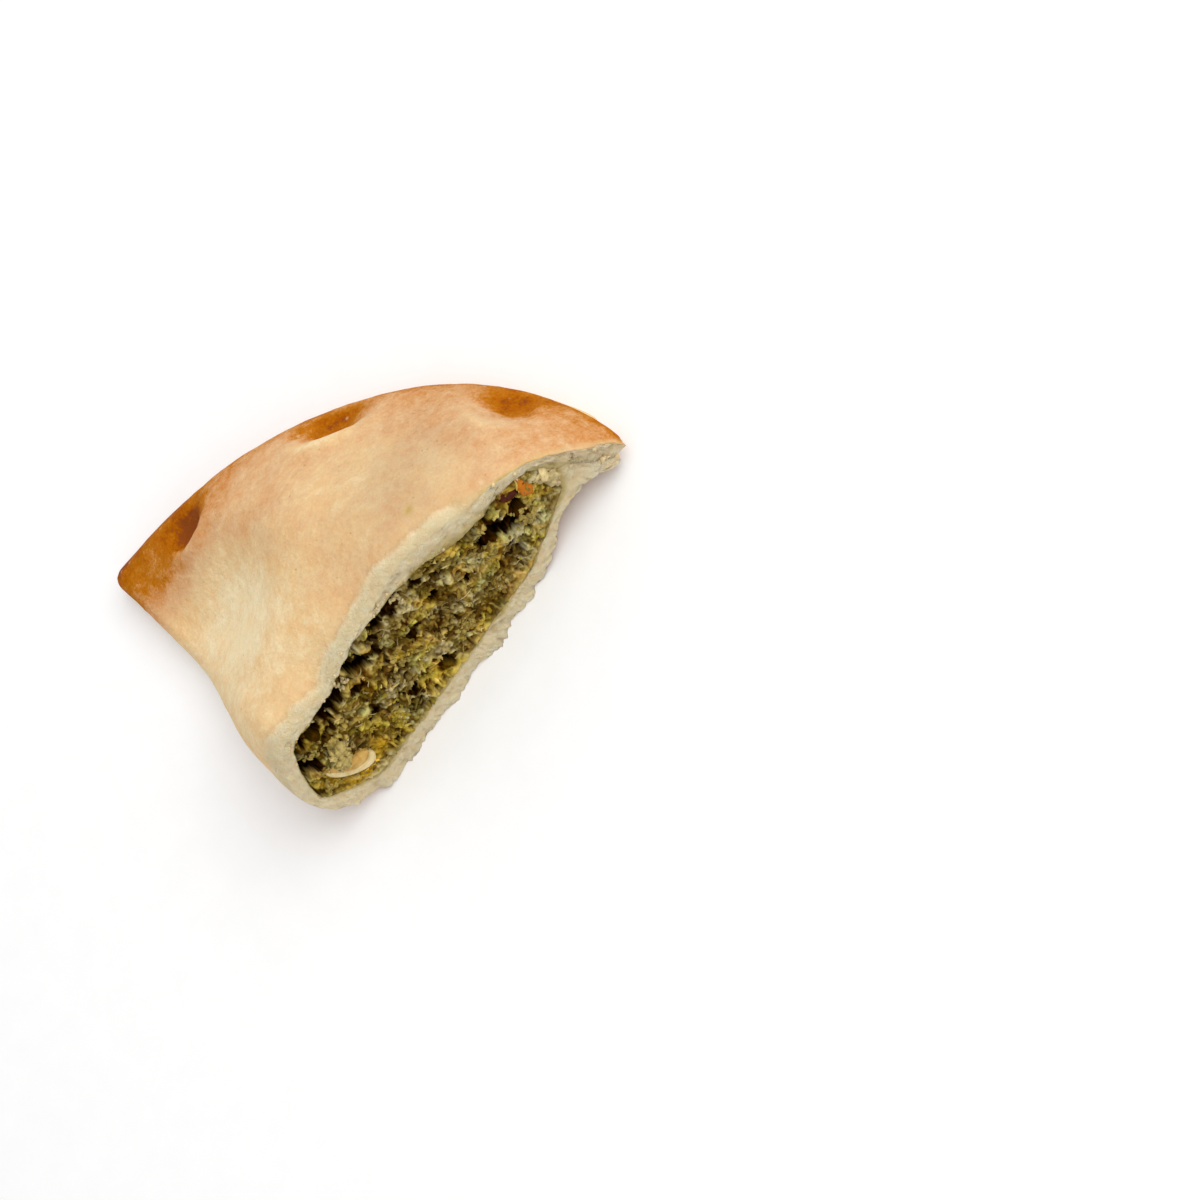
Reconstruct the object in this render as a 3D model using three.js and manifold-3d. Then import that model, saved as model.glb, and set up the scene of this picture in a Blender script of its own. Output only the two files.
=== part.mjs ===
// Half of a savory turnover: a baked dough pocket round chopped spinach, cut across with a knife.
//
// Millimetres, +Z up. The shape is written in its own plan frame: X runs from the folded edge (0)
// to the sealed edge, Y from the foot of the cut (0) to the tip, and Z = 0 is the flat underside.
// The last line moves the plan frame so that the origin is at the bottom centre of the whole piece.
//
//   crust    the baked dough: a closed fold, a sealed rim with finger presses and an open cut
//   filling  the chopped spinach that runs through the pocket, with the larger bits on its cut face

import * as THREE from "three";
import { mergeVertices } from "three/addons/utils/BufferGeometryUtils.js";
import Module from "manifold-3d";

// ---- driving dimensions ----

const WIDTH = 83; // folded edge to sealed edge, at the cut
const REACH = 66; // cut to tip
const HEIGHT = 35.2; // underside to the top of the dome
const CENTRE = { x: 41.4, y: 33 }; // bottom centre of the piece
const PLAN_POWER = { x: 1.76, y: 2.02 }; // how full the sealed edge bows, 2 is an ellipse
const CUT_LEAN = THREE.MathUtils.degToRad(14); // the knife's plane leans back over the filling

const FOLD = { radius: 12.4, middle: 11, shoulder: 29.4 }; // folded edge where the filling lies
const TIP = { middle: 4.3, half: 3.2 }; // folded edge where only dough is left
const BULGE = { full: 12, gone: 44 }; // the fold loses its filling between these distances
const DOME_RUN = 57; // from the fold to the crest
const RIM = { half: 3, rise: 7.5, run: 42.5, power: 1.7 }; // sealed edge, and the slope up from it
const LIFT = { cut: 8.2, tip: 1.4, run: 39, fades: 40 }; // how far the baked rim curls off the table
const DROOP = { depth: 7.4, run: 10.2 }; // the last of the rim hangs down again
const SEAM = 0.8; // depth of the groove where the two layers of dough meet at the sealed edge
const CREASE = 3; // rounding where the rim's slope meets the dome
const BLUNT = { corner: 3.4, rounded: 0.75, rim: 0.9, fold: 0.7, run: 9, wide: 6 }; // the tip's corner
const EDGE_FADE = 20; // lift and droop start this far from the fold

// Finger presses along the sealed edge: where, how long and wide, and how deep.
const PRESSES = [
  { x: 75.0, y: 19.4, along: 5.2, across: 2.6, depth: 4.3 },
  { x: 51.6, y: 44.2, along: 6.8, across: 2.9, depth: 4.2 },
  { x: 19.4, y: 55.6, along: 4.8, across: 2.9, depth: 3.6 },
];
// Every press climbs gently to the sealed edge and steeply to the dome, is bowed like a fingertip,
// and pushes up a lip on the dome's side. These are shares of its half width and depth.
const PRESS_FORM = { out: 1.5, in: 0.62, bow: 0.35, back: 0.25, edge: 2.6, ends: 2.4 };
const PRESS_LIP = { height: 0.2, away: 1.3, wide: 0.55 };

// Low folds that start at the cut and die out over the dome: where they start, how wide and high
// they are, how far they run, and how much they drift towards the sealed edge on the way.
const RIDGES = [
  { x: 12, wide: 4.2, height: 1.3, run: 24, drift: -0.15 },
  { x: 22.5, wide: 5.5, height: -1.4, run: 26, drift: 0.1 },
  { x: 46.5, wide: 6, height: 1.2, run: 30, drift: 0.1 },
  { x: 64, wide: 4.4, height: -1.3, run: 17, drift: -0.35 },
  { x: 76.3, wide: 3, height: 0.9, run: 9, drift: 0 },
];

// Soft waves of the dough everywhere: length, direction and height.
const WAVES = [
  { length: 29, turn: 2.2, height: 0.3, phase: 1.1 },
  { length: 17, turn: 0.9, height: 0.22, phase: 2.6 },
];
const WAVE_FADE = 7; // folds and waves die out towards the folded and the sealed edge

const ROLL = { depth: 1.9, run: 3.4 }; // the knife drags the top crust's edge down over the filling

// Thickness of the dough round the filling, with a thick and two thin spots over it.
const DOUGH = { top: 3.7, bottom: 4.2, fold: 2.3, rim: 9.6, tip: 20 };
const THICK_SPOT = { x: 55, wide: 10, more: 3.8 };
// Where the top is thin it also rolls less.
const THIN_SPOTS = [
  { x: 29, wide: 10.5, less: 2.8, roll: 0.65 },
  { x: 69.8, wide: 5.5, less: 3.0, roll: 0.6 },
];
const POCKET_ROUND = { fold: 10, rim: 4 }; // rounding of the pocket's two long edges
const THINNEST = 0.4; // half the filling's thickness where the pocket runs out
const GAP = 0.35; // between the filling and the dough
const TIP_GAP = 2; // times that gap where the pocket narrows to its end

// ---- meshing ----

// Points along half a ring, rings, and how much those crowd together towards the tip.
const OUTSIDE = { half: 33, sections: 32, crowd: 0.6 };
const POCKET = { half: 18, sections: 15, crowd: 1 };
const NEAR_CUT = [-2.5, 0, 0.5, 1.2, 2.2, 3.4]; // sections in front of the cut and at its rolled edge
const SETTLE = 8; // rounds that find where a leaning section meets the skin
const CRUMB = { cell: 1.5, rough: 0.6, lump: 2.3 }; // torn surface of the cut dough
const CRAG = { cell: 1.12, rough: 1.9, back: 0.5, coarse: 4.6, fine: 2.1, share: 0.55 }; // and filling
const SLAB = { beyond: 6, front: -40 }; // the space in front of the knife, beyond the piece all round
const MARGIN = 1.5; // leaf flakes keep this far from the dough
const TIP_SHARE = 0.9994; // the last section stops just short of the point
const SLIVER = 0.004; // edges shorter than this are merged away

// Where the base stands proud of the cut (-) or is torn back (+): place, half width and how far.
const FLAPS = [
  { x: 9.5, wide: 1.9, far: -0.7 },
  { x: 15.5, wide: 2.3, far: -0.9 },
  { x: 27.5, wide: 2.2, far: -0.8 },
  { x: 40.0, wide: 2.6, far: -1.4 },
  { x: 49.5, wide: 1.8, far: -0.6 },
  { x: 67.0, wide: 4.2, far: 1.5 },
];
const FLAP_RISE = 3; // a flap takes in this much of the base's thickness

// The sealed end is broken off near the cut, the base further back than the top: how far out each
// reaches at the cut, how that grows behind it, and at what height one gives way to the other.
const BREAK = { top: 82.2, base: 78.7, slant: 0.42, seam: 4.4, fade: 1.2 };

// Hollows in the filling's cut face, mostly under the top crust: place, size and depth.
const HOLLOWS = [
  { x: 64.2, z: 20.2, wide: 3.6, tall: 2.1, depth: 4.4 },
  { x: 57.4, z: 23.4, wide: 3.4, tall: 1.9, depth: 3.8 },
  { x: 47.5, z: 20.5, wide: 2.2, tall: 1.6, depth: 2.2 },
  { x: 33.2, z: 27.6, wide: 4.6, tall: 1.7, depth: 3.6 },
  { x: 25.0, z: 17.0, wide: 2.6, tall: 1.5, depth: 2.2 },
  { x: 12.4, z: 24.0, wide: 4.0, tall: 1.8, depth: 3.8 },
  { x: 8.6, z: 16.4, wide: 2.0, tall: 2.6, depth: 3.2 },
  { x: 55.0, z: 11.0, wide: 2.4, tall: 1.4, depth: 1.8 },
];

// Larger bits that stand out of the cut face: place and half sizes, then turn in the face.
const BITS = [
  { x: 68.4, z: 17.4, size: [1.9, 1.2, 1.3], turn: 0.7 }, // carrot
  { x: 20.6, z: 10.4, size: [2.2, 1.1, 1.2], turn: -0.2 }, // yellow scramble
  { x: 13.6, z: 17.6, size: [2.4, 1.3, 1.5], turn: 0.5 }, // pale crumb
  { x: 55.6, z: 18.0, size: [1.7, 1.1, 0.9], turn: -0.6 },
  { x: 40.5, z: 23.5, size: [1.8, 1.1, 1.0], turn: 0.9 },
  { x: 44.0, z: 12.5, size: [1.6, 1.0, 1.0], turn: 0.2 },
];
const ONION = { x: 9.6, z: 11.0, radius: 4.6, thick: 0.8, wide: 1.5, from: 3.5, sweep: 1.9, steps: 9 };
const FLAKES = {
  count: 74, long: [1.1, 2.6], wide: [0.5, 1.0], thick: 0.35, tilt: 0.9, spread: 3.4, stray: 0.8, seed: 7,
};
const EMBED = 0.45; // how deep a bit's centre sits behind the mean face

const MATERIALS = {
  crust: new THREE.MeshStandardMaterial({ color: 0xdcae68, roughness: 0.72, metalness: 0 }),
  filling: new THREE.MeshStandardMaterial({ color: 0x66662c, roughness: 0.6, metalness: 0 }),
};

const wasm = await Module();
wasm.setup();

// ---- small mathematics ----

const clamp01 = (value) => Math.min(Math.max(value, 0), 1);

function smooth(value) {
  const t = clamp01(value);
  return t * t * (3 - 2 * t);
}

// A soft bump: 1 in the middle, gone by 2 either way.
const bell = (value) => Math.exp(-value * value);

// A quarter circle: 0 at the edge, 1 from `radius` inwards.
function quarterRound(distance, radius) {
  const t = 1 - clamp01(distance / radius);
  return Math.sqrt(1 - t * t);
}

function hash(i, j, seed) {
  let h = Math.imul(i, 374761393) + Math.imul(j, 668265263) + Math.imul(seed, 362437);
  h = Math.imul(h ^ (h >>> 13), 1274126177);
  return ((h ^ (h >>> 16)) >>> 0) / 4294967296;
}

// Smooth lumps between 0 and 1, about one every `size` millimetres.
function lumps(x, z, size, seed) {
  const i = Math.floor(x / size);
  const j = Math.floor(z / size);
  const u = smooth(x / size - i);
  const v = smooth(z / size - j);
  const low = hash(i, j, seed) * (1 - u) + hash(i + 1, j, seed) * u;
  const high = hash(i, j + 1, seed) * (1 - u) + hash(i + 1, j + 1, seed) * u;
  return low * (1 - v) + high * v;
}

// ---- the outside of the turnover ----

// Where the sealed edge is at a distance y from the cut.
function sealedEdge(y, width = WIDTH, reach = REACH) {
  const share = clamp01(1 - Math.pow(Math.abs(y) / reach, PLAN_POWER.y));
  return width * Math.pow(share, 1 / PLAN_POWER.x);
}

// Steepness of the plan's outline function, which turns its value into a distance.
function planSlope(x, y) {
  const { x: px, y: py } = PLAN_POWER;
  const slopeX = (px / WIDTH) * Math.pow(Math.max(x, 0.001) / WIDTH, px - 1);
  const slopeY = (py / REACH) * Math.pow(Math.max(Math.abs(y), 0.001) / REACH, py - 1);
  return new THREE.Vector2(slopeX, slopeY);
}

// Distance to the sealed edge, near enough.
function fromSealedEdge(x, y) {
  const { x: px, y: py } = PLAN_POWER;
  const value = Math.pow(Math.max(x, 0) / WIDTH, px) + Math.pow(Math.abs(y) / REACH, py);
  return Math.max(0, (1 - value) / planSlope(x, y).length());
}

function pressDepth(x, y) {
  let depth = 0;
  for (const press of PRESSES) {
    const out = planSlope(press.x, press.y).normalize();
    const across = ((x - press.x) * out.x + (y - press.y) * out.y) / press.across;
    const along = ((y - press.y) * out.x - (x - press.x) * out.y) / press.along;
    const bowed = across - PRESS_FORM.bow * along * along + PRESS_FORM.back;
    const stretched = Math.abs(bowed) / (bowed > 0 ? PRESS_FORM.out : PRESS_FORM.in);
    const ends = Math.exp(-Math.pow(Math.abs(along), PRESS_FORM.ends));
    const dent = Math.exp(-Math.pow(stretched, PRESS_FORM.edge)) * ends;
    const lip = bell((bowed + PRESS_LIP.away) / PRESS_LIP.wide) * bell(along);
    depth += press.depth * (dent - PRESS_LIP.height * lip);
  }
  return depth;
}

function waveHeight(x, y) {
  let height = 0;
  const away = Math.abs(y);
  for (const ridge of RIDGES) {
    const across = (x - ridge.x - ridge.drift * away) / ridge.wide;
    height += ridge.height * bell(across) * (1 - smooth(away / ridge.run));
  }
  for (const wave of WAVES) {
    const place = x * Math.cos(wave.turn) + y * Math.sin(wave.turn);
    height += wave.height * Math.sin((2 * Math.PI * place) / wave.length + wave.phase);
  }
  return height;
}

// Top and underside of the whole turnover above a point of its plan.
function outside(x, y) {
  const toFold = Math.max(x, 0);
  const toRim = fromSealedEdge(x, y);
  const away = Math.abs(y);
  const bulge = 1 - smooth((away - BULGE.full) / (BULGE.gone - BULGE.full));
  const nearCut = 1 - smooth(away / LIFT.fades);
  const offFold = smooth(toFold / EDGE_FADE);

  const lift = LIFT.tip + (LIFT.cut - LIFT.tip) * nearCut;
  const foldMiddle = TIP.middle + (FOLD.middle - TIP.middle) * bulge;
  const foldRadius = TIP.half + (FOLD.radius - TIP.half) * bulge;
  const shoulder = foldMiddle + TIP.half * (1 - bulge) + (FOLD.shoulder - FOLD.middle) * bulge;
  const towardRim = toFold / (toFold + toRim + 1e-9);
  const middle = foldMiddle * (1 - towardRim) + (lift + RIM.half) * towardRim;
  const round = quarterRound(toFold, foldRadius) * quarterRound(toRim, RIM.half);

  const rimTop = lift + RIM.rise;
  const slope = 1 - Math.pow(1 - clamp01(toRim / RIM.run), RIM.power);
  const overRim = rimTop + (HEIGHT - rimTop) * slope;
  const overFold = shoulder + (HEIGHT - shoulder) * smooth(toFold / DOME_RUN);
  const skin = -CREASE * Math.log(Math.exp(-overRim / CREASE) + Math.exp(-overFold / CREASE));
  const waves = waveHeight(x, y) * smooth(toFold / WAVE_FADE) * smooth(toRim / WAVE_FADE);
  const under = lift * smooth(1 - toRim / LIFT.run) * offFold;
  const droop = DROOP.depth * smooth(1 - toRim / DROOP.run) * nearCut * offFold;

  return {
    top: middle + (skin + waves - middle) * round - droop,
    bottom: middle + (under - middle) * round - droop,
    round,
  };
}

// ---- the pocket that holds the filling ----

// How strongly the thin spots act at x, by what they take away: dough or roll.
function thinness(x, what) {
  return THIN_SPOTS.reduce((sum, spot) => sum + spot[what] * bell((x - spot.x) / spot.wide), 0);
}

// Top and underside of the pocket, smaller all round by `gap`.
function pocket(x, y, gap) {
  const skin = outside(x, y);
  const more = THICK_SPOT.more * bell((x - THICK_SPOT.x) / THICK_SPOT.wide);
  const less = thinness(x, "less");
  const ceiling = skin.top - DOUGH.top - (more - less) * (1 - smooth(Math.abs(y) / REACH)) - gap;
  const floor = skin.bottom + DOUGH.bottom + gap;
  const middle = (ceiling + floor) / 2;
  const toFold = x - DOUGH.fold - gap;
  const edge = sealedEdge(y, WIDTH - DOUGH.rim - gap, REACH - DOUGH.tip - TIP_GAP * gap);
  const round = quarterRound(toFold, POCKET_ROUND.fold) * quarterRound(edge - x, POCKET_ROUND.rim);
  const half = Math.max((ceiling - floor) / 2, THINNEST + GAP - gap) * round;
  return { top: middle + half, bottom: middle - half };
}

// ---- closed meshes ----

function closedGeometry(positions, triangles) {
  const geometry = new THREE.BufferGeometry();
  geometry.setAttribute("position", new THREE.Float32BufferAttribute(positions, 3));
  geometry.setIndex(triangles);
  return geometry;
}

function solidOf(source) {
  const bare = source.clone();
  bare.deleteAttribute("normal");
  bare.deleteAttribute("uv");
  const merged = mergeVertices(bare, 1e-4);
  const vertProperties = new Float32Array(merged.attributes.position.array);
  const triVerts = new Uint32Array(merged.index.array);
  return new wasm.Manifold(new wasm.Mesh({ numProp: 3, vertProperties, triVerts }));
}

function geometryOf(solid) {
  const mesh = solid.simplify(SLIVER).getMesh();
  const geometry = closedGeometry(Array.from(mesh.vertProperties), Array.from(mesh.triVerts));
  geometry.computeVertexNormals();
  return geometry;
}

// A body from rings of points, one ring for each station along Y. Each ring runs over the top
// from the fold to the rim and back along the underside; the first and last ring are capped.
function loft(rings) {
  const count = rings[0].length;
  const positions = rings.flat(2);
  const triangles = [];
  const at = (station, i) => station * count + (i % count);
  for (let station = 0; station + 1 < rings.length; station++) {
    for (let i = 0; i < count; i++) {
      const [a, b] = [at(station, i), at(station, i + 1)];
      const [c, d] = [at(station + 1, i), at(station + 1, i + 1)];
      triangles.push(a, b, c, b, d, c);
    }
  }
  for (const [station, flip] of [[0, true], [rings.length - 1, false]]) {
    for (let i = 1; i + 1 < count; i++) {
      const face = [at(station, 0), at(station, i), at(station, i + 1)];
      triangles.push(...(flip ? face.reverse() : face));
    }
  }
  return solidOf(closedGeometry(positions, triangles));
}

// A point on a section that starts `start` behind the foot of the cut. It lies `share` of the way
// from the folded to the sealed edge. Sections lean with the knife and stand upright at the tip.
function sectionPoint(body, start, share, side) {
  const lean = Math.tan(CUT_LEAN) * (1 - start / body.length);
  const point = [0, start, HEIGHT / 2];
  for (let turn = 0; turn < SETTLE; turn++) {
    point[1] = start + lean * point[2];
    const [from, to] = body.edges(point[1]);
    point[0] = from + (to - from) * share;
    point[2] = body.skin(point[0], point[1], start)[side];
  }
  if (share === 1 && body.seam) {
    const out = planSlope(point[0], point[1]).normalize();
    point[0] -= out.x * body.seam;
    point[1] -= out.y * body.seam;
  }
  return body.bent ? body.bent(point) : point;
}

// Rounds the tip's corner between the folded and the sealed edge, and swells it a little.
function bluntTip([x, y, z]) {
  const along = BLUNT.corner - x;
  const out = y - (REACH - BLUNT.corner);
  const swell = smooth((y - REACH + BLUNT.run) / BLUNT.run) * bell(x / BLUNT.wide);
  const moved = [x, y];
  if (along > 0 && out > 0) {
    const shrink = 1 - BLUNT.rounded * (1 - Math.max(along, out) / Math.hypot(along, out));
    moved[0] = BLUNT.corner - along * shrink;
    moved[1] = REACH - BLUNT.corner + out * shrink;
  }
  return [moved[0] - BLUNT.fold * swell, moved[1] + BLUNT.rim * swell, z];
}

// One section's points over the top and back underneath, closer together at the two edges.
function ringAt(body, start) {
  const over = [];
  const under = [];
  for (let i = 0; i <= body.half; i++) {
    const share = (1 - Math.cos((Math.PI * i) / body.half)) / 2;
    over.push(sectionPoint(body, start, share, "top"));
    if (i > 0 && i < body.half) {
      under.unshift(sectionPoint(body, start, share, "bottom"));
    }
  }
  return [...over, ...under];
}

// A body from its sections: some at the cut, then ones that crowd together towards the tip.
function sectionsOf(body) {
  const last = NEAR_CUT[NEAR_CUT.length - 1];
  const starts = [...NEAR_CUT];
  for (let i = 1; i <= body.sections; i++) {
    const even = i / body.sections;
    const crowded = Math.sin((Math.PI / 2) * even);
    const share = even + (crowded - even) * body.crowd;
    starts.push(last + (body.length - last) * share * TIP_SHARE);
  }
  return loft(starts.map((start) => ringAt(body, start)));
}

function outerBody() {
  return sectionsOf({
    ...OUTSIDE,
    length: REACH,
    seam: SEAM,
    bent: bluntTip,
    edges: (y) => [0, sealedEdge(y)],
    skin: (x, y, start) => {
      const { top, bottom, round } = outside(x, y);
      const rolled = ROLL.depth * (1 - thinness(x, "roll")) * (1 - quarterRound(start, ROLL.run));
      return { top: top - (pressDepth(x, y) + rolled) * round, bottom };
    },
  });
}

function pocketBody(gap) {
  const width = WIDTH - DOUGH.rim - gap;
  const reach = REACH - DOUGH.tip - TIP_GAP * gap;
  const fold = DOUGH.fold + gap;
  const foldShare = Math.pow(fold / width, PLAN_POWER.x);
  return sectionsOf({
    ...POCKET,
    length: reach * Math.pow(1 - foldShare, 1 / PLAN_POWER.y),
    edges: (y) => [fold, Math.max(fold, sealedEdge(y, width, reach))],
    skin: (x, y) => pocket(x, y, gap),
  });
}

// Everything in front of the knife: a slab whose back is the cut, torn by `tear(x, z)`.
function knifeSlab(cell, tear) {
  const [left, right] = [-SLAB.beyond, WIDTH + SLAB.beyond];
  const [low, high] = [-SLAB.beyond, HEIGHT + SLAB.beyond];
  const columns = Math.round((right - left) / cell);
  const rows = Math.round((high - low) / cell);
  const positions = [];
  for (const isBack of [true, false]) {
    for (let row = 0; row <= rows; row++) {
      for (let column = 0; column <= columns; column++) {
        const x = left + ((right - left) * column) / columns;
        const z = low + ((high - low) * row) / rows;
        positions.push(x, isBack ? z * Math.tan(CUT_LEAN) + tear(x, z) : SLAB.front, z);
      }
    }
  }
  const layer = (columns + 1) * (rows + 1);
  const at = (row, column) => row * (columns + 1) + column;
  const triangles = [];
  for (let row = 0; row < rows; row++) {
    for (let column = 0; column < columns; column++) {
      const [a, b] = [at(row, column), at(row, column + 1)];
      const [c, d] = [at(row + 1, column), at(row + 1, column + 1)];
      triangles.push(a, d, b, a, c, d);
      triangles.push(layer + a, layer + b, layer + d, layer + a, layer + d, layer + c);
    }
  }
  const along = [...Array(columns).keys()];
  const up = [...Array(rows).keys()];
  const border = [
    ...along.map((column) => at(0, column)),
    ...up.map((row) => at(row, columns)),
    ...along.map((column) => at(rows, columns - column)),
    ...up.map((row) => at(rows - row, 0)),
  ];
  border.forEach((a, i) => {
    const b = border[(i + 1) % border.length];
    triangles.push(a, b, layer + b, a, layer + b, layer + a);
  });
  return solidOf(closedGeometry(positions, triangles));
}

// ---- the bits on the filling's cut face ----

function hollowDepth(x, z) {
  let depth = 0;
  for (const hollow of HOLLOWS) {
    const across = (x - hollow.x) / hollow.wide;
    const up = (z - hollow.z) / hollow.tall;
    depth = Math.max(depth, hollow.depth * bell(Math.hypot(across, up)));
  }
  return depth;
}

// How far the torn filling lies behind the knife's plane.
function fillingTear(x, z) {
  const coarse = lumps(x, z, CRAG.coarse, 3);
  const fine = lumps(x, z, CRAG.fine, 5);
  const rough = CRAG.share * coarse + (1 - CRAG.share) * fine;
  return CRAG.back + CRAG.rough * rough + hollowDepth(x, z);
}

// How far the torn dough lies behind the knife's plane; a flap of the base stands in front of it.
function doughTear(x, z) {
  const rough = CRUMB.rough * lumps(x, z, CRUMB.lump, 11);
  const low = outside(Math.min(x, WIDTH), 0).bottom;
  const inBase = 1 - smooth((z - low) / FLAP_RISE);
  const flap = FLAPS.reduce((sum, f) => sum + f.far * bell((x - f.x) / f.wide), 0);
  const limit = BREAK.base + (BREAK.top - BREAK.base) * smooth((z - BREAK.seam) / BREAK.fade + 0.5);
  return rough + flap * inBase + Math.max(0, (x - limit) / BREAK.slant);
}

// A point of the filling's face, and the turn that lays a bit in that face.
function placeOnFace(geometry, x, z, turn, tilt) {
  geometry.rotateX(tilt);
  geometry.rotateY(turn);
  geometry.rotateX(-CUT_LEAN);
  const y = z * Math.tan(CUT_LEAN) + fillingTear(x, z) + EMBED;
  geometry.translate(x, y, z);
  return solidOf(geometry);
}

function lumpBit({ x, z, size, turn }) {
  const geometry = new THREE.IcosahedronGeometry(1, 1);
  geometry.scale(size[0], size[1], size[2]);
  return placeOnFace(geometry, x, z, turn, 0);
}

// A bent strip of onion: an arc of a ring with square edges.
function onionCurl() {
  const shape = new THREE.Shape();
  for (let i = 0; i <= ONION.steps; i++) {
    const angle = ONION.from + (ONION.sweep * i) / ONION.steps;
    const radius = ONION.radius + ONION.thick / 2;
    const [px, py] = [radius * Math.cos(angle), radius * Math.sin(angle)];
    if (i === 0) {
      shape.moveTo(px, py);
    } else {
      shape.lineTo(px, py);
    }
  }
  for (let i = ONION.steps; i >= 0; i--) {
    const angle = ONION.from + (ONION.sweep * i) / ONION.steps;
    const radius = ONION.radius - ONION.thick / 2;
    shape.lineTo(radius * Math.cos(angle), radius * Math.sin(angle));
  }
  const geometry = new THREE.ExtrudeGeometry(shape, { depth: ONION.wide, bevelEnabled: false });
  geometry.translate(0, 0, -ONION.wide / 2);
  geometry.rotateX(Math.PI / 2);
  return placeOnFace(geometry, ONION.x, ONION.z + ONION.radius, 0, 0);
}

// One chopped leaf: a thin wedge, one end buried and the other standing out a little.
function leafFlake(long, wide) {
  const geometry = new THREE.OctahedronGeometry(1, 0);
  geometry.scale(long, FLAKES.thick, wide);
  return geometry;
}

function leafFlakes() {
  const flakes = [];
  const pick = (i, salt, [low, high]) => low + (high - low) * hash(i, salt, FLAKES.seed);
  const stray = (i, salt) => FLAKES.stray * hash(i, salt, FLAKES.seed);
  const columns = Math.ceil((WIDTH - DOUGH.rim) / FLAKES.spread);
  for (let i = 0; flakes.length < FLAKES.count && i < 4 * FLAKES.count; i++) {
    const x = FLAKES.spread * ((i % columns) + stray(i, 1));
    const z = FLAKES.spread * (Math.floor(i / columns) + stray(i, 2));
    const { top, bottom } = pocket(x, z * Math.tan(CUT_LEAN), GAP);
    const inside = x > DOUGH.fold + MARGIN && z > bottom + MARGIN && z < top - MARGIN;
    if (inside && x < WIDTH - DOUGH.rim - MARGIN) {
      const geometry = leafFlake(pick(i, 3, FLAKES.long), pick(i, 4, FLAKES.wide));
      const turn = pick(i, 5, [0, Math.PI]);
      const tilt = pick(i, 6, [-FLAKES.tilt, FLAKES.tilt]);
      flakes.push(placeOnFace(geometry, x, z, turn, tilt));
    }
  }
  return flakes;
}

// ---- the two pieces ----

function crustSolid() {
  const mouth = knifeSlab(CRUMB.cell, doughTear);
  return outerBody().subtract(pocketBody(0)).subtract(mouth);
}

function fillingSolid() {
  const room = pocketBody(GAP);
  let solid = room.subtract(knifeSlab(CRAG.cell, fillingTear));
  for (const bit of [...BITS.map(lumpBit), onionCurl(), ...leafFlakes()]) {
    solid = solid.add(bit);
  }
  return solid.intersect(room);
}

function largestBody(solid) {
  return solid.decompose().reduce((a, b) => (a.volume() > b.volume() ? a : b));
}

const group = new THREE.Group();
for (const [name, solid] of [["crust", crustSolid()], ["filling", fillingSolid()]]) {
  const mesh = new THREE.Mesh(geometryOf(largestBody(solid)), MATERIALS[name]);
  mesh.name = name;
  group.add(mesh);
}

group.position.set(-CENTRE.x, -CENTRE.y, 0);

export default group;
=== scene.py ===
"""Half of a baked savory turnover, cut across to show its chopped spinach filling.

Lengths are millimetres in the plan frame of the shape: X runs from the folded edge (0) to the
sealed edge, Y from the foot of the cut (0) to the tip, and Z = 0 is the flat underside. to_frame()
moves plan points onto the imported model, in metres.
"""

import math

import bpy
import numpy as np
from mathutils import Matrix, Vector


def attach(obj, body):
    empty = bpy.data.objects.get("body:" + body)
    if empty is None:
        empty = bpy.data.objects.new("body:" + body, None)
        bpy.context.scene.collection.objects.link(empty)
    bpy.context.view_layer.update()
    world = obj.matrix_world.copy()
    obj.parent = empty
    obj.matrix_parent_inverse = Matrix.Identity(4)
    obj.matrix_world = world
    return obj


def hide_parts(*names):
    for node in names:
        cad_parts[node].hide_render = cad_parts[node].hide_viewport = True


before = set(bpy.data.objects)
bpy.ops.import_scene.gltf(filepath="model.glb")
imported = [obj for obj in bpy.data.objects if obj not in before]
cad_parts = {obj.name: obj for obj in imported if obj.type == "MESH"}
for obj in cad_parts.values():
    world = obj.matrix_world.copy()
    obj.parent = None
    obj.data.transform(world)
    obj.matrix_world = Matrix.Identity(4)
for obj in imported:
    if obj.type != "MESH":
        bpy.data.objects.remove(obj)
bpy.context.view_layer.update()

# ---- the turnover's form, as the solids have it ----

WIDTH, REACH, HEIGHT = 83.0, 66.0, 35.2
CENTRE_X, CENTRE_Y = 41.4, 33.0
PLAN_X, PLAN_Y = 1.76, 2.02
LEAN = math.tan(math.radians(14))
FOLD_RADIUS, FOLD_MIDDLE, FOLD_SHOULDER = 12.4, 11.0, 29.4
TIP_MIDDLE, TIP_HALF = 4.3, 3.2
BULGE_FULL, BULGE_GONE = 12.0, 44.0
DOME_RUN = 57.0
RIM_HALF, RIM_RISE, RIM_RUN, RIM_POWER = 3.0, 7.5, 42.5, 1.7
LIFT_CUT, LIFT_TIP, LIFT_RUN, LIFT_FADES = 8.2, 1.4, 39.0, 40.0
DROOP_DEPTH, DROOP_RUN = 7.4, 10.2
SEAM_DEPTH, SEAM_HALF = 0.8, 0.55
CREASE = 3.0
# The tip is blunt: its corner is rounded and both sides bulge a little.
TIP_CORNER, TIP_ROUNDED = 3.4, 0.75
TIP_SWELL_RIM, TIP_SWELL_FOLD, TIP_SWELL_RUN, TIP_SWELL_WIDE = 0.9, 0.7, 9.0, 6.0
EDGE_FADE = 20.0
WAVE_FADE = 7.0
ROLL_DEPTH, ROLL_RUN = 1.9, 3.4

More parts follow.
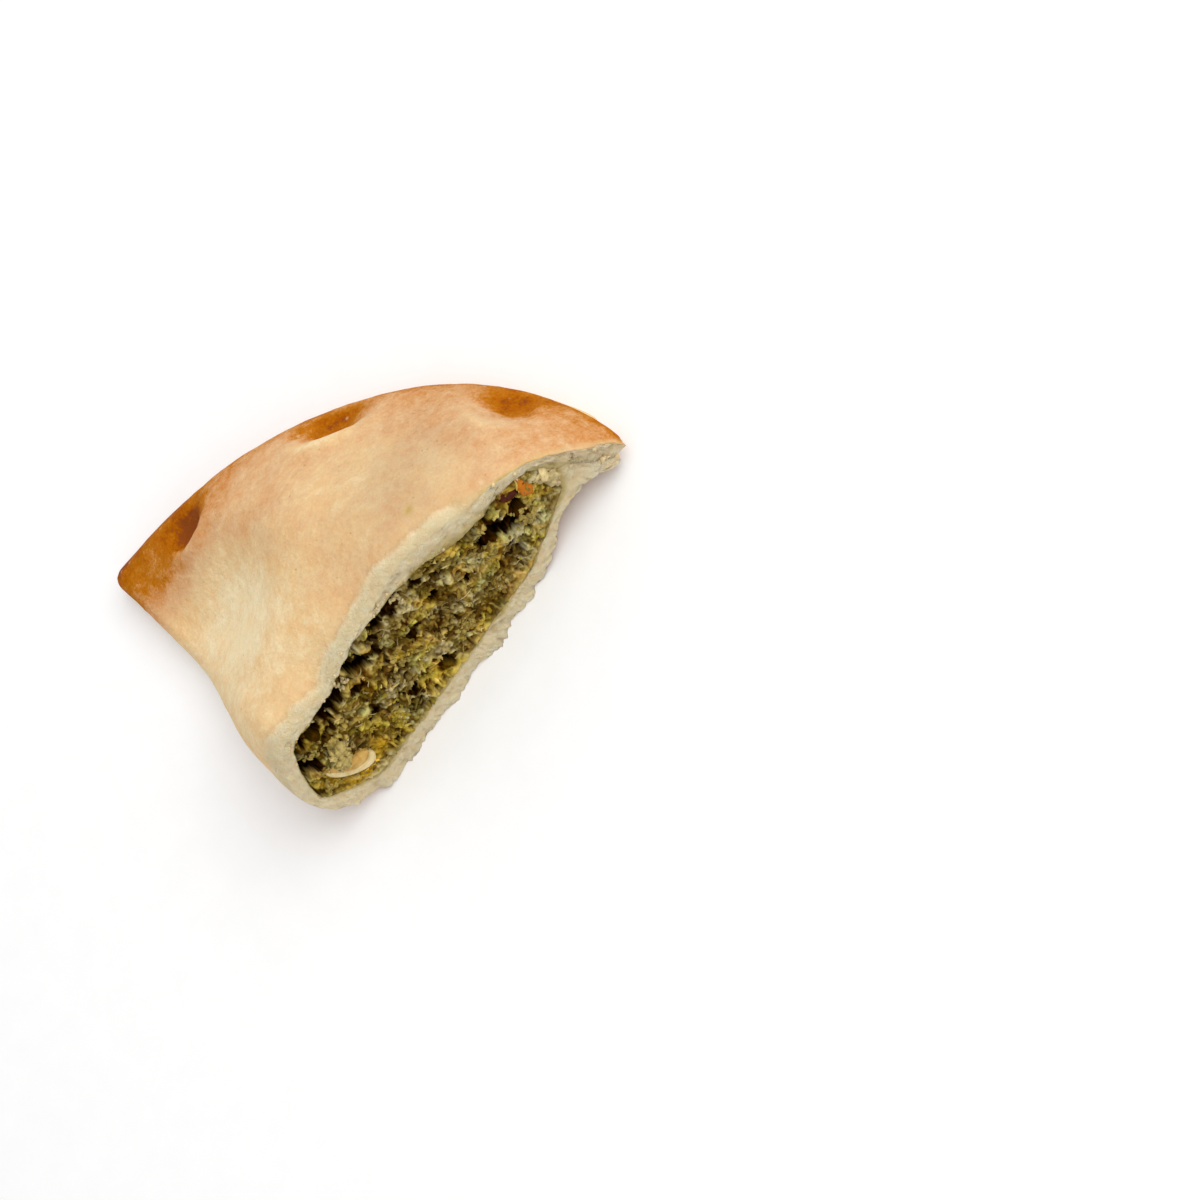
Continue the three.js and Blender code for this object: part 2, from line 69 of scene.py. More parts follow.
# Finger presses: x, y, half length along the rim, half width, depth.
PRESSES = [(75.0, 19.4, 5.2, 2.6, 4.3), (51.6, 44.2, 6.8, 2.9, 4.2), (19.4, 55.6, 4.8, 2.9, 3.6)]
PRESS_OUT, PRESS_IN = 1.5, 0.62  # how gently a press climbs to the rim, and how steeply to the dome
PRESS_BOW, PRESS_BACK = 0.35, 0.25
PRESS_LIP, LIP_AWAY, LIP_WIDE = 0.2, 1.3, 0.55
PRESS_BROWNED = (0.42, 0.58, 0.44)

# Low folds from the cut: x, width, height, run, drift.
RIDGES = [(12, 4.2, 1.3, 24, -0.15), (22.5, 5.5, -1.4, 26, 0.1), (46.5, 6, 1.2, 30, 0.1),
          (64, 4.4, -1.3, 17, -0.35), (76.3, 3, 0.9, 9, 0)]
WAVES = [(29, 2.2, 0.3, 1.1), (17, 0.9, 0.22, 2.6)]  # length, direction, height, phase

DOUGH_TOP, DOUGH_BOTTOM, DOUGH_FOLD, DOUGH_RIM, DOUGH_TIP = 3.7, 4.2, 2.3, 9.6, 20.0
SPOT_X, SPOT_WIDE, SPOT_MORE = 55.0, 10.0, 3.8
THIN_SPOTS = [(29.0, 10.5, 2.8, 0.65), (69.8, 5.5, 3.0, 0.6)]  # x, half width, less dough, less roll
POCKET_FOLD_ROUND, POCKET_RIM_ROUND = 10.0, 4.0
THINNEST, GAP = 0.4, 0.35

MM = 0.001
SETTLE = 12  # rounds that find where a leaning section meets the skin


# ---- small mathematics ----

def clamp01(value):
    return np.clip(value, 0.0, 1.0)


def smooth(value):
    t = clamp01(value)
    return t * t * (3 - 2 * t)


def quarter_round(distance, radius):
    t = 1 - clamp01(distance / radius)
    return np.sqrt(1 - t * t)


def bell(value):
    return np.exp(-value * value)


def patch(across, up, wide, tall):
    """1 in the middle of a soft oval patch, 0 far from it."""
    return bell(across / wide) * bell(up / tall)


def hashed(i, j, k, seed):
    """A number from 0 to 1 for each whole-number place."""
    h = (i.astype(np.int64) * 374761393 + j.astype(np.int64) * 668265263
         + k.astype(np.int64) * 2147483647 + seed * 362437) & 0xFFFFFFFF
    h = ((h ^ (h >> 13)) * 1274126177) & 0xFFFFFFFF
    h = ((h ^ (h >> 15)) * 2246822519) & 0xFFFFFFFF
    return (h ^ (h >> 16)) / 4294967296.0


def noise(x, y, z, size, seed):
    """Smooth lumps from -1 to 1, about one every `size` millimetres."""
    x, y, z = np.broadcast_arrays(x / size, y / size, z / size)
    i, j, k = np.floor(x), np.floor(y), np.floor(z)
    u, v, w = smooth(x - i), smooth(y - j), smooth(z - k)
    total = 0
    for a, b, c in np.ndindex(2, 2, 2):
        share = (u if a else 1 - u) * (v if b else 1 - v) * (w if c else 1 - w)
        total = total + share * hashed(i + a, j + b, k + c, seed)
    return 2 * total - 1


def fractal(x, y, z, size, seed, octaves):
    """Noise with finer and weaker noise on it. Every kind of noise ends in a seed of its own."""
    total, strength = 0, 1.0
    for octave in range(octaves):
        total = total + strength * noise(x, y, z, size / 2 ** octave, seed + octave)
        strength /= 2
    return total


def face_noise(x, z, size, seed):
    """Noise over a face that is seen from the front."""
    return noise(x, 0 * x, z, size, seed)


def face_fractal(x, z, size, seed, octaves):
    return fractal(x, 0 * x, z, size, seed, octaves)


def creased(x, z, size, seed):
    """Folds with sharp crests, up to 1, about one every `size` millimetres."""
    return 1 - 2.4 * np.abs(face_noise(x, z, size, seed))


def to_segment(x, y, ax, ay, bx, by):
    """Distance of points from the straight stretch from a to b."""
    run = (bx - ax) ** 2 + (by - ay) ** 2
    t = clamp01(((x - ax) * (bx - ax) + (y - ay) * (by - ay)) / run)
    return np.hypot(x - ax - t * (bx - ax), y - ay - t * (by - ay))


# ---- the form ----

def sealed_edge(y, width=WIDTH, reach=REACH):
    return width * clamp01(1 - (np.abs(y) / reach) ** PLAN_Y) ** (1 / PLAN_X)


def plan_slope(x, y):
    slope_x = PLAN_X / WIDTH * (np.maximum(x, 0.001) / WIDTH) ** (PLAN_X - 1)
    slope_y = PLAN_Y / REACH * (np.maximum(np.abs(y), 0.001) / REACH) ** (PLAN_Y - 1)
    return slope_x, slope_y


def plan_out(x, y):
    """Direction straight out through the sealed edge."""
    slope_x, slope_y = plan_slope(x, y)
    length = np.hypot(slope_x, slope_y)
    return slope_x / length, slope_y / length


def from_sealed_edge(x, y):
    value = (np.maximum(x, 0) / WIDTH) ** PLAN_X + (np.abs(y) / REACH) ** PLAN_Y
    return np.maximum(0, (1 - value) / np.hypot(*plan_slope(x, y)))


def press_places(x, y):
    """For each finger press: how far out and how far along it a point lies, in its own sizes."""
    for px, py, along, across, depth in PRESSES:
        out_x, out_y = plan_out(px, py)
        outward = ((x - px) * out_x + (y - py) * out_y) / across
        sideways = ((y - py) * out_x - (x - px) * out_y) / along
        yield outward, sideways, depth


def press_depth(x, y):
    total = 0
    for outward, sideways, depth in press_places(x, y):
        bowed = outward - PRESS_BOW * sideways ** 2 + PRESS_BACK
        stretched = np.where(bowed > 0, bowed / PRESS_OUT, bowed / PRESS_IN)
        dent = np.exp(-np.abs(stretched) ** 2.6) * np.exp(-np.abs(sideways) ** 2.4)
        lip = bell((bowed + LIP_AWAY) / LIP_WIDE) * bell(sideways)
        total = total + depth * (dent - PRESS_LIP * lip)
    return total


def wave_height(x, y):
    away = np.abs(y)
    height = 0
    for rx, wide, high, run, drift in RIDGES:
        height = height + high * bell((x - rx - drift * away) / wide) * (1 - smooth(away / run))
    for length, turn, high, phase in WAVES:
        place = x * math.cos(turn) + y * math.sin(turn)
        height = height + high * np.sin(2 * math.pi * place / length + phase)
    return height


def outside(x, y):
    """Top, underside and edge rounding of the whole turnover above a point of its plan."""
    to_fold = np.maximum(x, 0)
    to_rim = from_sealed_edge(x, y)
    away = np.abs(y)
    bulge = 1 - smooth((away - BULGE_FULL) / (BULGE_GONE - BULGE_FULL))
    near_cut = 1 - smooth(away / LIFT_FADES)
    off_fold = smooth(to_fold / EDGE_FADE)

    lift = LIFT_TIP + (LIFT_CUT - LIFT_TIP) * near_cut
    fold_middle = TIP_MIDDLE + (FOLD_MIDDLE - TIP_MIDDLE) * bulge
    fold_radius = TIP_HALF + (FOLD_RADIUS - TIP_HALF) * bulge
    shoulder = fold_middle + TIP_HALF * (1 - bulge) + (FOLD_SHOULDER - FOLD_MIDDLE) * bulge
    toward_rim = to_fold / (to_fold + to_rim + 1e-9)
    middle = fold_middle * (1 - toward_rim) + (lift + RIM_HALF) * toward_rim
    edge = quarter_round(to_fold, fold_radius) * quarter_round(to_rim, RIM_HALF)

    rim_top = lift + RIM_RISE
    slope = 1 - (1 - clamp01(to_rim / RIM_RUN)) ** RIM_POWER
    over_rim = rim_top + (HEIGHT - rim_top) * slope
    over_fold = shoulder + (HEIGHT - shoulder) * smooth(to_fold / DOME_RUN)
    skin = -CREASE * np.log(np.exp(-over_rim / CREASE) + np.exp(-over_fold / CREASE))
    skin = skin + wave_height(x, y) * smooth(to_fold / WAVE_FADE) * smooth(to_rim / WAVE_FADE)
    under = lift * smooth(1 - to_rim / LIFT_RUN) * off_fold
    droop = DROOP_DEPTH * smooth(1 - to_rim / DROOP_RUN) * near_cut * off_fold
    top = middle + (skin - middle) * edge - droop
    bottom = middle + (under - middle) * edge - droop
    return top, bottom, edge


def thinness(x, which):
    """How strongly the thin spots act at x, by what they take away: dough (2) or roll (3)."""
    return sum(spot[which] * bell((x - spot[0]) / spot[1]) for spot in THIN_SPOTS)


def pocket_plan(gap):
    """Width and reach of the line that bounds the pocket in plan."""
    return WIDTH - DOUGH_RIM - gap, REACH - DOUGH_TIP - 2 * gap


def pocket(x, y, gap):
    """Top and underside of the room for the filling, smaller all round by `gap`."""
    top, bottom, _ = outside(x, y)
    spot = SPOT_MORE * bell((x - SPOT_X) / SPOT_WIDE) - thinness(x, 2)
    ceiling = top - DOUGH_TOP - spot * (1 - smooth(np.abs(y) / REACH)) - gap
    floor = bottom + DOUGH_BOTTOM + gap
    middle = (ceiling + floor) / 2
    edge = sealed_edge(y, *pocket_plan(gap))
    rounding = quarter_round(x - DOUGH_FOLD - gap, POCKET_FOLD_ROUND)
    rounding = rounding * quarter_round(edge - x, POCKET_RIM_ROUND)
    half = np.maximum((ceiling - floor) / 2, THINNEST + GAP - gap) * rounding
    return middle + half, middle - half


def blunt_tip(points):
    """Rounds the corner between the folded and the sealed edge, and swells it a little."""
    x, y = points[..., 0], points[..., 1]
    along, out = TIP_CORNER - x, y - (REACH - TIP_CORNER)
    corner = (along > 0) & (out > 0)
    square, true = np.maximum(along, out), np.hypot(along, out) + 1e-9
    shrink = np.where(corner, 1 - TIP_ROUNDED * (1 - square / true), 1.0)
    near = smooth((y - (REACH - TIP_SWELL_RUN)) / TIP_SWELL_RUN)
    swell = near * bell(x / TIP_SWELL_WIDE)
    moved = np.array(points, dtype=float)
    moved[..., 0] = np.where(corner, TIP_CORNER - along * shrink, x) - TIP_SWELL_FOLD * swell
    moved[..., 1] = np.where(corner, REACH - TIP_CORNER + out * shrink, y) + TIP_SWELL_RIM * swell
    return moved


# ---- sections that lean with the knife ----

def section_points(share, start, length, edges, height):
    """Points `share` of the way from fold to rim on sections `start` behind the foot of the cut."""
    share, start = np.broadcast_arrays(share, start)
    lean = LEAN * (1 - start / length)
    z = np.full(share.shape, HEIGHT / 2)
    for _ in range(SETTLE):
        y = start + lean * z
        low, high = edges(y)
        x = low + (high - low) * share
        z = height(x, y)
    return np.stack([x, y, z], -1)


def even_shares(count):
    """Shares from 0 to 1 that crowd together at both ends, where the skin turns under."""
    s = np.linspace(0, 1, count)
    turn = 0.15
    middle = (s - turn / 2) / (1 - turn)
    start = s * s / (2 * turn) / (1 - turn)
    end = 1 - (1 - s) ** 2 / (2 * turn) / (1 - turn)
    return np.where(s < turn, start, np.where(s > 1 - turn, end, middle))


def outer_edges(y):
    return 0.0, sealed_edge(y)


def pocket_length(gap):
    width, reach = pocket_plan(gap)
    share = ((DOUGH_FOLD + gap) / width) ** PLAN_X
    return reach * (1 - share) ** (1 / PLAN_Y)


def pocket_sections(share, start, gap):
    """Sections of the pocket's top and of its underside."""
    low = DOUGH_FOLD + gap

    def edges(y):
        return low, np.maximum(low, sealed_edge(y, *pocket_plan(gap)))

    def side(which):
        return section_points(share, start, pocket_length(gap), edges, lambda x, y: pocket(x, y, gap)[which])

    return side(0), side(1)


# ---- meshes ----

def to_frame(points):
    """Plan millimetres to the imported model's metres, whose origin is the piece's bottom centre."""
    return (np.array(points, dtype=float) - (CENTRE_X, CENTRE_Y, 0)) * MM


def make_mesh(name, points, faces, attributes=None, colours=None):
    """A smooth mesh object at the origin, with its float and colour attributes."""
    mesh = bpy.data.meshes.new(name)
    mesh.from_pydata(to_frame(points).tolist(), [], faces)
    for key, values in (attributes or {}).items():
        layer = mesh.attributes.new(key, "FLOAT", "POINT")
        layer.data.foreach_set("value", np.asarray(values, dtype=np.float32).ravel())
    if colours is not None:
        layer = mesh.color_attributes.new("tint", "FLOAT_COLOR", "POINT")
        rgba = np.concatenate([colours, np.ones((len(colours), 1))], 1)
        layer.data.foreach_set("color", rgba.astype(np.float32).ravel())
    mesh.polygons.foreach_set("use_smooth", [True] * len(mesh.polygons))
    mesh.update()
    piece = bpy.data.objects.new(name, mesh)
    bpy.context.scene.collection.objects.link(piece)
    return piece


def band_faces(rows, columns, around=True):
    """Quads between rows of points that close round, or don't."""
    r = np.arange(rows - 1)[:, None]
    c = np.arange(columns if around else columns - 1)[None, :]
    after = (c + 1) % columns
    quad = [r * columns + c, r * columns + after, (r + 1) * columns + after, (r + 1) * columns + c]
    return np.stack(np.broadcast_arrays(*quad), -1).reshape(-1, 4).tolist()


def capped_faces(rows, columns):
    """A tube's faces with both its ends."""
    last = (rows - 1) * columns
    ends = [list(range(columns))[::-1], list(range(last, last + columns))]
    return band_faces(rows, columns) + ends


def grid_normals(points):
    """Unit normals of rings of points, pointing out of the top."""
    across = np.roll(points, -1, 1) - np.roll(points, 1, 1)
    along = np.gradient(points, axis=0)
    normal = np.cross(across, along)
    return normal / (np.linalg.norm(normal, axis=-1, keepdims=True) + 1e-12)


# ---- the crust ----

OVER, UNDER = 280, 400  # points of a ring over the top and underneath
EDGE_ROWS, BODY_ROWS = 18, 84
STRIP_ROWS = 30
INNER_ROWS = 11
TIP_SHARE = 0.9994
TEETH_FADE, FLAP_FADE = 1.4, 4.0

# Where the base stands proud of the cut (-) or is torn back (+): x, half width, how far.
FLAPS = [(9.5, 1.9, -0.7), (15.5, 2.3, -0.9), (27.5, 2.2, -0.8), (40.0, 2.6, -1.4), (49.5, 1.8, -0.6),
         (67.0, 4.2, 1.5)]

# The sealed end is broken off where the knife left it: how far out each layer reaches, and the
# slant of the break.
END_TOP, END_BASE, END_SLANT = 82.2, 78.7, 0.42


def ring_shares():
    over = even_shares(OVER)
    under = even_shares(UNDER)[::-1][1:-1]
    return np.concatenate([over, under]), np.arange(OVER + UNDER - 2) < OVER


def outer_starts():
    edge = ROLL_RUN * np.linspace(0, 1, EDGE_ROWS) ** 1.7
    even = np.linspace(0, 1, BODY_ROWS + 1)[1:]
    crowded = 0.5 * even + 0.5 * np.sin(math.pi / 2 * even)
    return np.concatenate([edge, ROLL_RUN + (REACH * TIP_SHARE - ROLL_RUN) * crowded])


def teeth(x, side):
    """Small jagged bites along a torn edge, from -1 to 1."""
    sharp = 1 - 2 * np.abs(noise(x, side, 0 * x, 1.5, 31))
    return 0.55 * sharp + 0.45 * (1 - 2 * np.abs(noise(x, side, 0 * x, 0.62, 32)))


def torn_starts(starts, share, is_over):
    """The sections' starts, with the ragged edge of the dough in the first of them."""
    x = share * WIDTH
    small = np.where(is_over, 0.2, 0.75) * teeth(x, np.where(is_over, 0.0, 40.0))
    flap = 0 * x
    for fx, wide, far in FLAPS:
        flap = flap + far * bell((x - fx) / wide)
    flap = np.where(is_over, 0.0, flap)
    small = small[None, :] * (1 - smooth(starts / TEETH_FADE))
    return starts + small + flap[None, :] * (1 - smooth(starts / FLAP_FADE))


def roll_depth(x, start):
    """How far the top crust's edge has sunk towards the filling."""
    return ROLL_DEPTH * (1 - thinness(x, 3)) * (1 - quarter_round(start, ROLL_RUN))


def break_end(points, starts, is_over):
    """Breaks the sealed end off near the cut, the base further back than the top."""
    ragged = 0.5 * noise(points[..., 0] * 0, points[..., 1], points[..., 2], 1.6, 37)
    limit = np.where(is_over, END_TOP, END_BASE) + END_SLANT * np.maximum(starts, 0) + ragged
    beyond = points[..., 0] - limit
    points[..., 0] = np.where(beyond > 0, limit + 0.12 * beyond, points[..., 0])
    return points


# Short raised folds of the skin: from x, y to x, y, half width, height.
WRINKLES = [(71.0, 19.6, 74.0, 12.6, 0.9, 0.75), (77.2, 14.0, 79.0, 16.4, 0.6, 0.5),
            (67.6, 21.6, 70.6, 15.6, 1.3, 0.4), (48.6, 42.4, 54.4, 38.4, 1.1, 0.45),
            (17.0, 52.4, 21.6, 51.4, 1.0, 0.4), (40.0, 40.0, 47.0, 33.0, 1.6, 0.25),
            (62.0, 33.0, 65.6, 27.0, 1.4, 0.3), (57.0, 24.0, 61.0, 12.0, 1.8, 0.25)]


def wrinkle_height(x, y):
    height = 0 * x
    for *ends, wide, high in WRINKLES:
        height = height + high * bell(to_segment(x, y, *ends) / wide)
    return height


def skin_relief(points, to_rim):
    """Height of the fine unevenness of the baked skin."""
    x, y, z = points[..., 0], points[..., 1], points[..., 2]
    soft = 0.11 * fractal(x, y, z, 8.0, 41, 3)
    grain = 0.035 * fractal(x, y, z, 1.3, 45, 2)
    streaks = 0.05 * fractal(x * 0.22 + y * 0.9, y * 0.22 - x * 0.9, z, 2.8, 48, 2)
    folded = 0.1 * creased(x * 0.5 + y * 0.6, z + y * 0.3, 4.6, 47) * (1 - smooth((to_rim - 4) / 16))
    return soft + grain + streaks * (1 - 0.6 * smooth(to_rim / 16)) + folded


def outer_skin():
    share, is_over = ring_shares()
    starts = outer_starts()[:, None]
    torn = torn_starts(starts, share, is_over)

    def top(x, y):
        high, _, edge = outside(x, y)
        return high - (press_depth(x, y) + roll_depth(x, starts)) * edge

    over = section_points(share[None, :], torn, REACH, outer_edges, top)
    under = section_points(share[None, :], torn, REACH, outer_edges, lambda x, y: outside(x, y)[1])
    points = np.where(is_over[None, :, None], over, under)

    rim_height = over[:, OVER - 1:OVER, 2]
    groove = SEAM_DEPTH * bell((points[..., 2] - rim_height) / SEAM_HALF) * (share > 0.9)
    out_x, out_y = plan_out(points[..., 0], points[..., 1])
    points[..., 0] -= out_x * groove
    points[..., 1] -= out_y * groove
    points = blunt_tip(break_end(points, starts, is_over))

    to_rim = from_sealed_edge(points[..., 0], points[..., 1])
    relief = skin_relief(points, to_rim) + wrinkle_height(points[..., 0], points[..., 1]) * is_over
    points += grid_normals(points) * relief[..., None]
    points[..., 2] = np.maximum(points[..., 2], 0.0)
    return points, share, is_over


def inner_wall(share, is_over, rim_ring):
    """The room for the filling, from its ragged mouth back to where it ends."""
    length = pocket_length(0)
    starts = (length * np.sin(math.pi / 2 * np.linspace(0, TIP_SHARE, INNER_ROWS)))[:, None]
    over, under = pocket_sections(share[None, :], starts, 0)
    wall = np.where(is_over[None, :, None], over, under)
    x = wall[..., 0]
    near_mouth = 1 - smooth(starts / 5.0)
    ragged = 0.4 * face_noise(x, 0 * x, 4.2, 35) + 0.3 * teeth(x, 0 * x + 9) * (starts < 1)
    wall[..., 2] += np.where(is_over, ragged, 0.8 * ragged - 0.2) * near_mouth
    wall[..., 1] = wall[..., 1] + near_mouth * 0.25 * face_noise(x, 0 * x, 2.3, 36)
    lowest_skin = np.interp(x[0], rim_ring[:OVER, 0], rim_ring[:OVER, 2]) - 0.45
    wall[0, :, 2] = np.where(is_over, np.minimum(wall[0, :, 2], lowest_skin), wall[0, :, 2])
    return wall


def crumb_relief(x, z):
    """How far the torn crumb of the dough stands out; coarser in the thick sealed end."""
    coarse = smooth((x - 71.5) / 3.0)
    fine = 0.26 * face_fractal(x, z, 2.2, 51, 3) - 0.16 * creased(x, z, 1.0, 55)
    lumps = 0.5 * face_fractal(x, z, 3.2, 57, 2) - 0.6 * np.abs(face_noise(x, z, 1.5, 58)) ** 0.5
    lumps = lumps + 0.45 - 0.14 * creased(x, z, 0.8, 59)
    pit = 1.1 * patch(x - 76.6, z - 11.0, 1.3, 1.0)
    return fine * (1 - coarse) + (lumps + pit) * coarse


def gap_shade_share(x, z):
    """How much a place on the torn crumb is a gap between its lumps, where shade is painted into the colour.
    """
    return (0.8 - 0.45 * smooth((x - 70) / 4)) * smooth((crumb_relief(x, z) - 0.05) / 0.5)


def cut_strip(outer, inner):
    """The dough's cut face between the two edges, with its torn crumb."""
    w = np.linspace(0, 1, STRIP_ROWS + 2)[1:-1, None, None]
    rows = outer[None] * (1 - w) + inner[None] * w
    x, z = rows[..., 0], rows[..., 2]
    inward = np.sin(math.pi * w[..., 0])
    flat = 0.5 * inward
    rows[..., 1] = rows[..., 1] * (1 - flat) + LEAN * z * flat + crumb_relief(x, z) * inward ** 0.3
    return rows


# Browner (+) and paler (-) patches of the skin: x, y, half width, half length, slant, how much.
BAKE_PATCHES = [(44, 24, 24, 26, 0, 0.08), (21, 33, 14, 11, 0, -0.17), (32, 42, 7, 10, 0.5, 0.13),
                (50, 27, 9, 13, 0, -0.07), (6, 26, 8, 12, 0, -0.05), (27, 19, 10, 9, 0, -0.07),
                (12, 38, 12, 13, 0, -0.1), (66, 31, 5, 7, 0, 0.1)]


def press_browning(x, y, z):
    """Finger presses are browned dark, with a pale lip on the dome's side that is a painted highlight on the
    ridge there.
    """
    total = 0
    for (outward, sideways, _), browned in zip(press_places(x, y), PRESS_BROWNED):
        bowed = outward - PRESS_BOW * sideways ** 2
        ragged = 0.2 * noise(x, y, z, 2.2, 63) + 0.12 * noise(x, y, z, 0.8, 64)
        inner = smooth((bowed + 0.72 + ragged) / 0.3)
        outer = 1 - smooth((bowed - 0.35 + ragged) / 1.1)
        total = total + 0.1 * patch(outward - 0.3, sideways, 1.9, 1.4)
        total = total + browned * inner * outer * bell(sideways)
        # painted highlight on the ridge at the press's dome side
        total = total - 0.2 * patch(bowed + 1.15, sideways, 0.45, 1.1)
    return total


def bake_amount(points, is_over):
    """How brown the skin is, from pale cream (0) to dark (1)."""
    x, y, z = points[..., 0], points[..., 1], points[..., 2]
    to_rim = from_sealed_edge(x, y)
    uneven = fractal(x, y, z, 13.0, 61, 3)
    bake = 0.19 + 0.05 * uneven
    for px, py, wide, long, slant, more in BAKE_PATCHES:
        bake = bake + more * patch(x - px + slant * (y - py), y - py, wide, long)
    near_tip = 0.33 * smooth((y - 46 + 0.1 * x) / 13) * (1 - 0.6 * smooth((x - 16) / 22))
    near_tip = near_tip + 0.12 * smooth((y - 51) / 9)
    near_end = 0.13 * smooth((x - 62) / 12) * (1 - 0.6 * smooth(y / 36))
    rim = 0.12 * np.exp(-to_rim / 6.0) + 0.18 * np.exp(-to_rim / 1.6) + 0.18 * np.exp(-to_rim / 0.45)
    bake = bake + near_tip + near_end + rim + press_browning(x, y, z)
    under = 0.36 + 0.12 * uneven + 0.12 * np.exp(-to_rim / 8.0) - 0.28 * smooth((x - 70) / 8)
    return clamp01(np.where(is_over[None, :], bake, under))


def dough_marks(rings, strip_start, skin_start, is_over):
    """What colours the dough at every point: baked skin, bare crumb, stains, wet spots, painted shade in the
    crumb's gaps, and a patch of painted shade on the dome.
    """
    x, y, z = rings[..., 0], rings[..., 1], rings[..., 2]
    behind = y - LEAN * z
    row = np.arange(len(rings))[:, None]
    on_skin = row >= skin_start
    on_top = on_skin & is_over
    depth_in = 1 - (row - strip_start) / (skin_start - strip_start)
    inward = np.where(row < strip_start, 1.0, np.where(on_skin, 0.0, depth_in))
    wander = face_noise(x, z, 7.0, 71) + 0.5 * face_noise(x, z, 2.4, 72)
    broad = 1 - 0.93 * smooth((x - 56) / 12)
    bare = 1 - smooth((behind - 0.4 - (0.5 + 1.1 * wander) * broad) / (0.5 + 2.2 * broad))
    bare = bare * (1 - 0.9 * smooth((x - 57) / 9))
    cut = np.where(on_skin, np.where(is_over, bare, 1 - smooth(behind / 0.8)), 1.0)

    oily = smooth((x - 47) / 7) * is_over
    stain_run = (4.2 + 2.6 * wander) * (0.25 + 0.75 * broad)
    skin_stain = is_over * (1 - smooth(behind / stain_run))
    stain = np.where(on_skin, skin_stain, 0.15 + 0.7 * inward ** 4) * (0.6 + 0.4 * oily)

    reach = np.where(is_over, 0.12 + 0.55 * oily, 0.14 + 0.1 * wander)
    soaked = np.where(row < strip_start, 1.0, smooth((inward - 1 + reach) / reach))
    fringe = bell((x - 68.5) / 3.6) * (1 - smooth((behind - 0.2) / (0.9 + 0.7 * wander)))
    wet = np.where(on_top, 0.55 * fringe, 0.75 * soaked * ~on_skin)
    spot = patch(x - 56.3, y - 13.2, 0.9, 0.8) * on_top
    # The last mark is a patch of painted shade over the middle of the dome.
    return {"bake": np.where(on_skin, bake_amount(rings, is_over), 0.0), "cut": cut, "stain": stain,
            "wet": np.maximum(wet, 0.8 * spot), "gaps": np.where(on_skin, 0.0, gap_shade_share(x, z)),
            "dome_shade": patch(x - 58, y - 19, 13, 13)}


def crust_piece():
    skin, share, is_over = outer_skin()
    wall = inner_wall(share, is_over, skin[0])
    strip = cut_strip(skin[0], wall[0])
    columns = len(share)

    rings = np.concatenate([wall[::-1], strip[::-1], skin])
    faces = band_faces(len(rings), columns)
    points = rings.reshape(-1, 3)
    points = np.concatenate([points, [wall[-1].mean(0), skin[-1].mean(0)]])
    last_ring = (len(rings) - 1) * columns
    for c in range(columns):
        after = (c + 1) % columns
        faces.append([len(points) - 2, after, c])
        faces.append([len(points) - 1, last_ring + c, last_ring + after])

    def per_point(values):
        return np.concatenate([np.broadcast_to(values, rings.shape[:2]).ravel(), [1.0, 0.3]])

    marks = dough_marks(rings, len(wall), len(wall) + len(strip), is_over)
    return make_mesh("baked_crust", points, faces, {key: per_point(mark) for key, mark in marks.items()})


# ---- the filling's torn face ----

rng = np.random.default_rng(20)

CELL = 0.12  # spacing of the grid on which the face's relief is worked out
FACE_WIDE, FACE_TALL = 78.0, 34.0

# Hollows in the cut face: x, z, half width, half height, depth.
HOLLOWS = [(63.2, 15.2, 2.6, 2.1, 4.0), (58.9, 18.2, 3.0, 2.2, 4.2), (66.6, 18.2, 1.5, 1.4, 2.6),
           (40.6, 27.6, 2.6, 1.7, 3.6), (31.6, 24.6, 2.5, 2.3, 4.0), (28.4, 25.6, 1.8, 1.7, 3.0),
           (20.2, 25.2, 2.7, 2.0, 3.6), (13.0, 24.6, 2.6, 1.4, 4.0), (7.6, 19.6, 1.4, 2.2, 3.6),
           (33.8, 6.6, 1.9, 1.4, 2.4), (38.0, 18.8, 1.9, 1.4, 2.2), (71.7, 12.3, 1.0, 1.2, 2.6),
           (46.8, 26.0, 2.0, 1.2, 2.6), (24.5, 22.0, 1.7, 1.0, 1.8), (20.0, 13.9, 1.6, 1.0, 1.8),
           (44.6, 20.0, 1.5, 1.3, 1.9), (50.5, 15.5, 1.2, 1.0, 1.6), (36.2, 27.0, 1.6, 1.0, 2.2),
           (27.0, 10.2, 1.3, 0.8, 1.5), (56.5, 10.6, 1.2, 0.9, 1.5), (15.6, 21.8, 1.4, 1.1, 2.0)]

OLIVE = (0.28, 0.185, 0.03)
LEAF = (0.15, 0.092, 0.011)
# Near black: painted shade, laid between the folds of the mash.
PAINTED_SHADE = (0.03, 0.012, 0.002)
GREY = (0.25, 0.195, 0.075)
STRAW = (0.47, 0.345, 0.09)
YELLOW = (0.45, 0.33, 0.035)
AMBER = (0.6, 0.35, 0.02)
BROWN = (0.2, 0.09, 0.012)
PALE = (0.66, 0.52, 0.25)
HUSK = (0.64, 0.49, 0.17)
DOUGHY = (0.5, 0.38, 0.14)
BRIGHTEST = 0.66
COOL = (LEAF, GREY, LEAF, OLIVE, GREY, OLIVE)
WARM = (OLIVE, OLIVE, STRAW, BROWN, LEAF, YELLOW, OLIVE)

# Juice under the onion: a path of x, z.
JUICE = [(4.8, 14.0), (5.6, 10.4), (7.6, 8.0), (10.6, 6.9), (13.6, 7.4), (15.2, 8.8)]

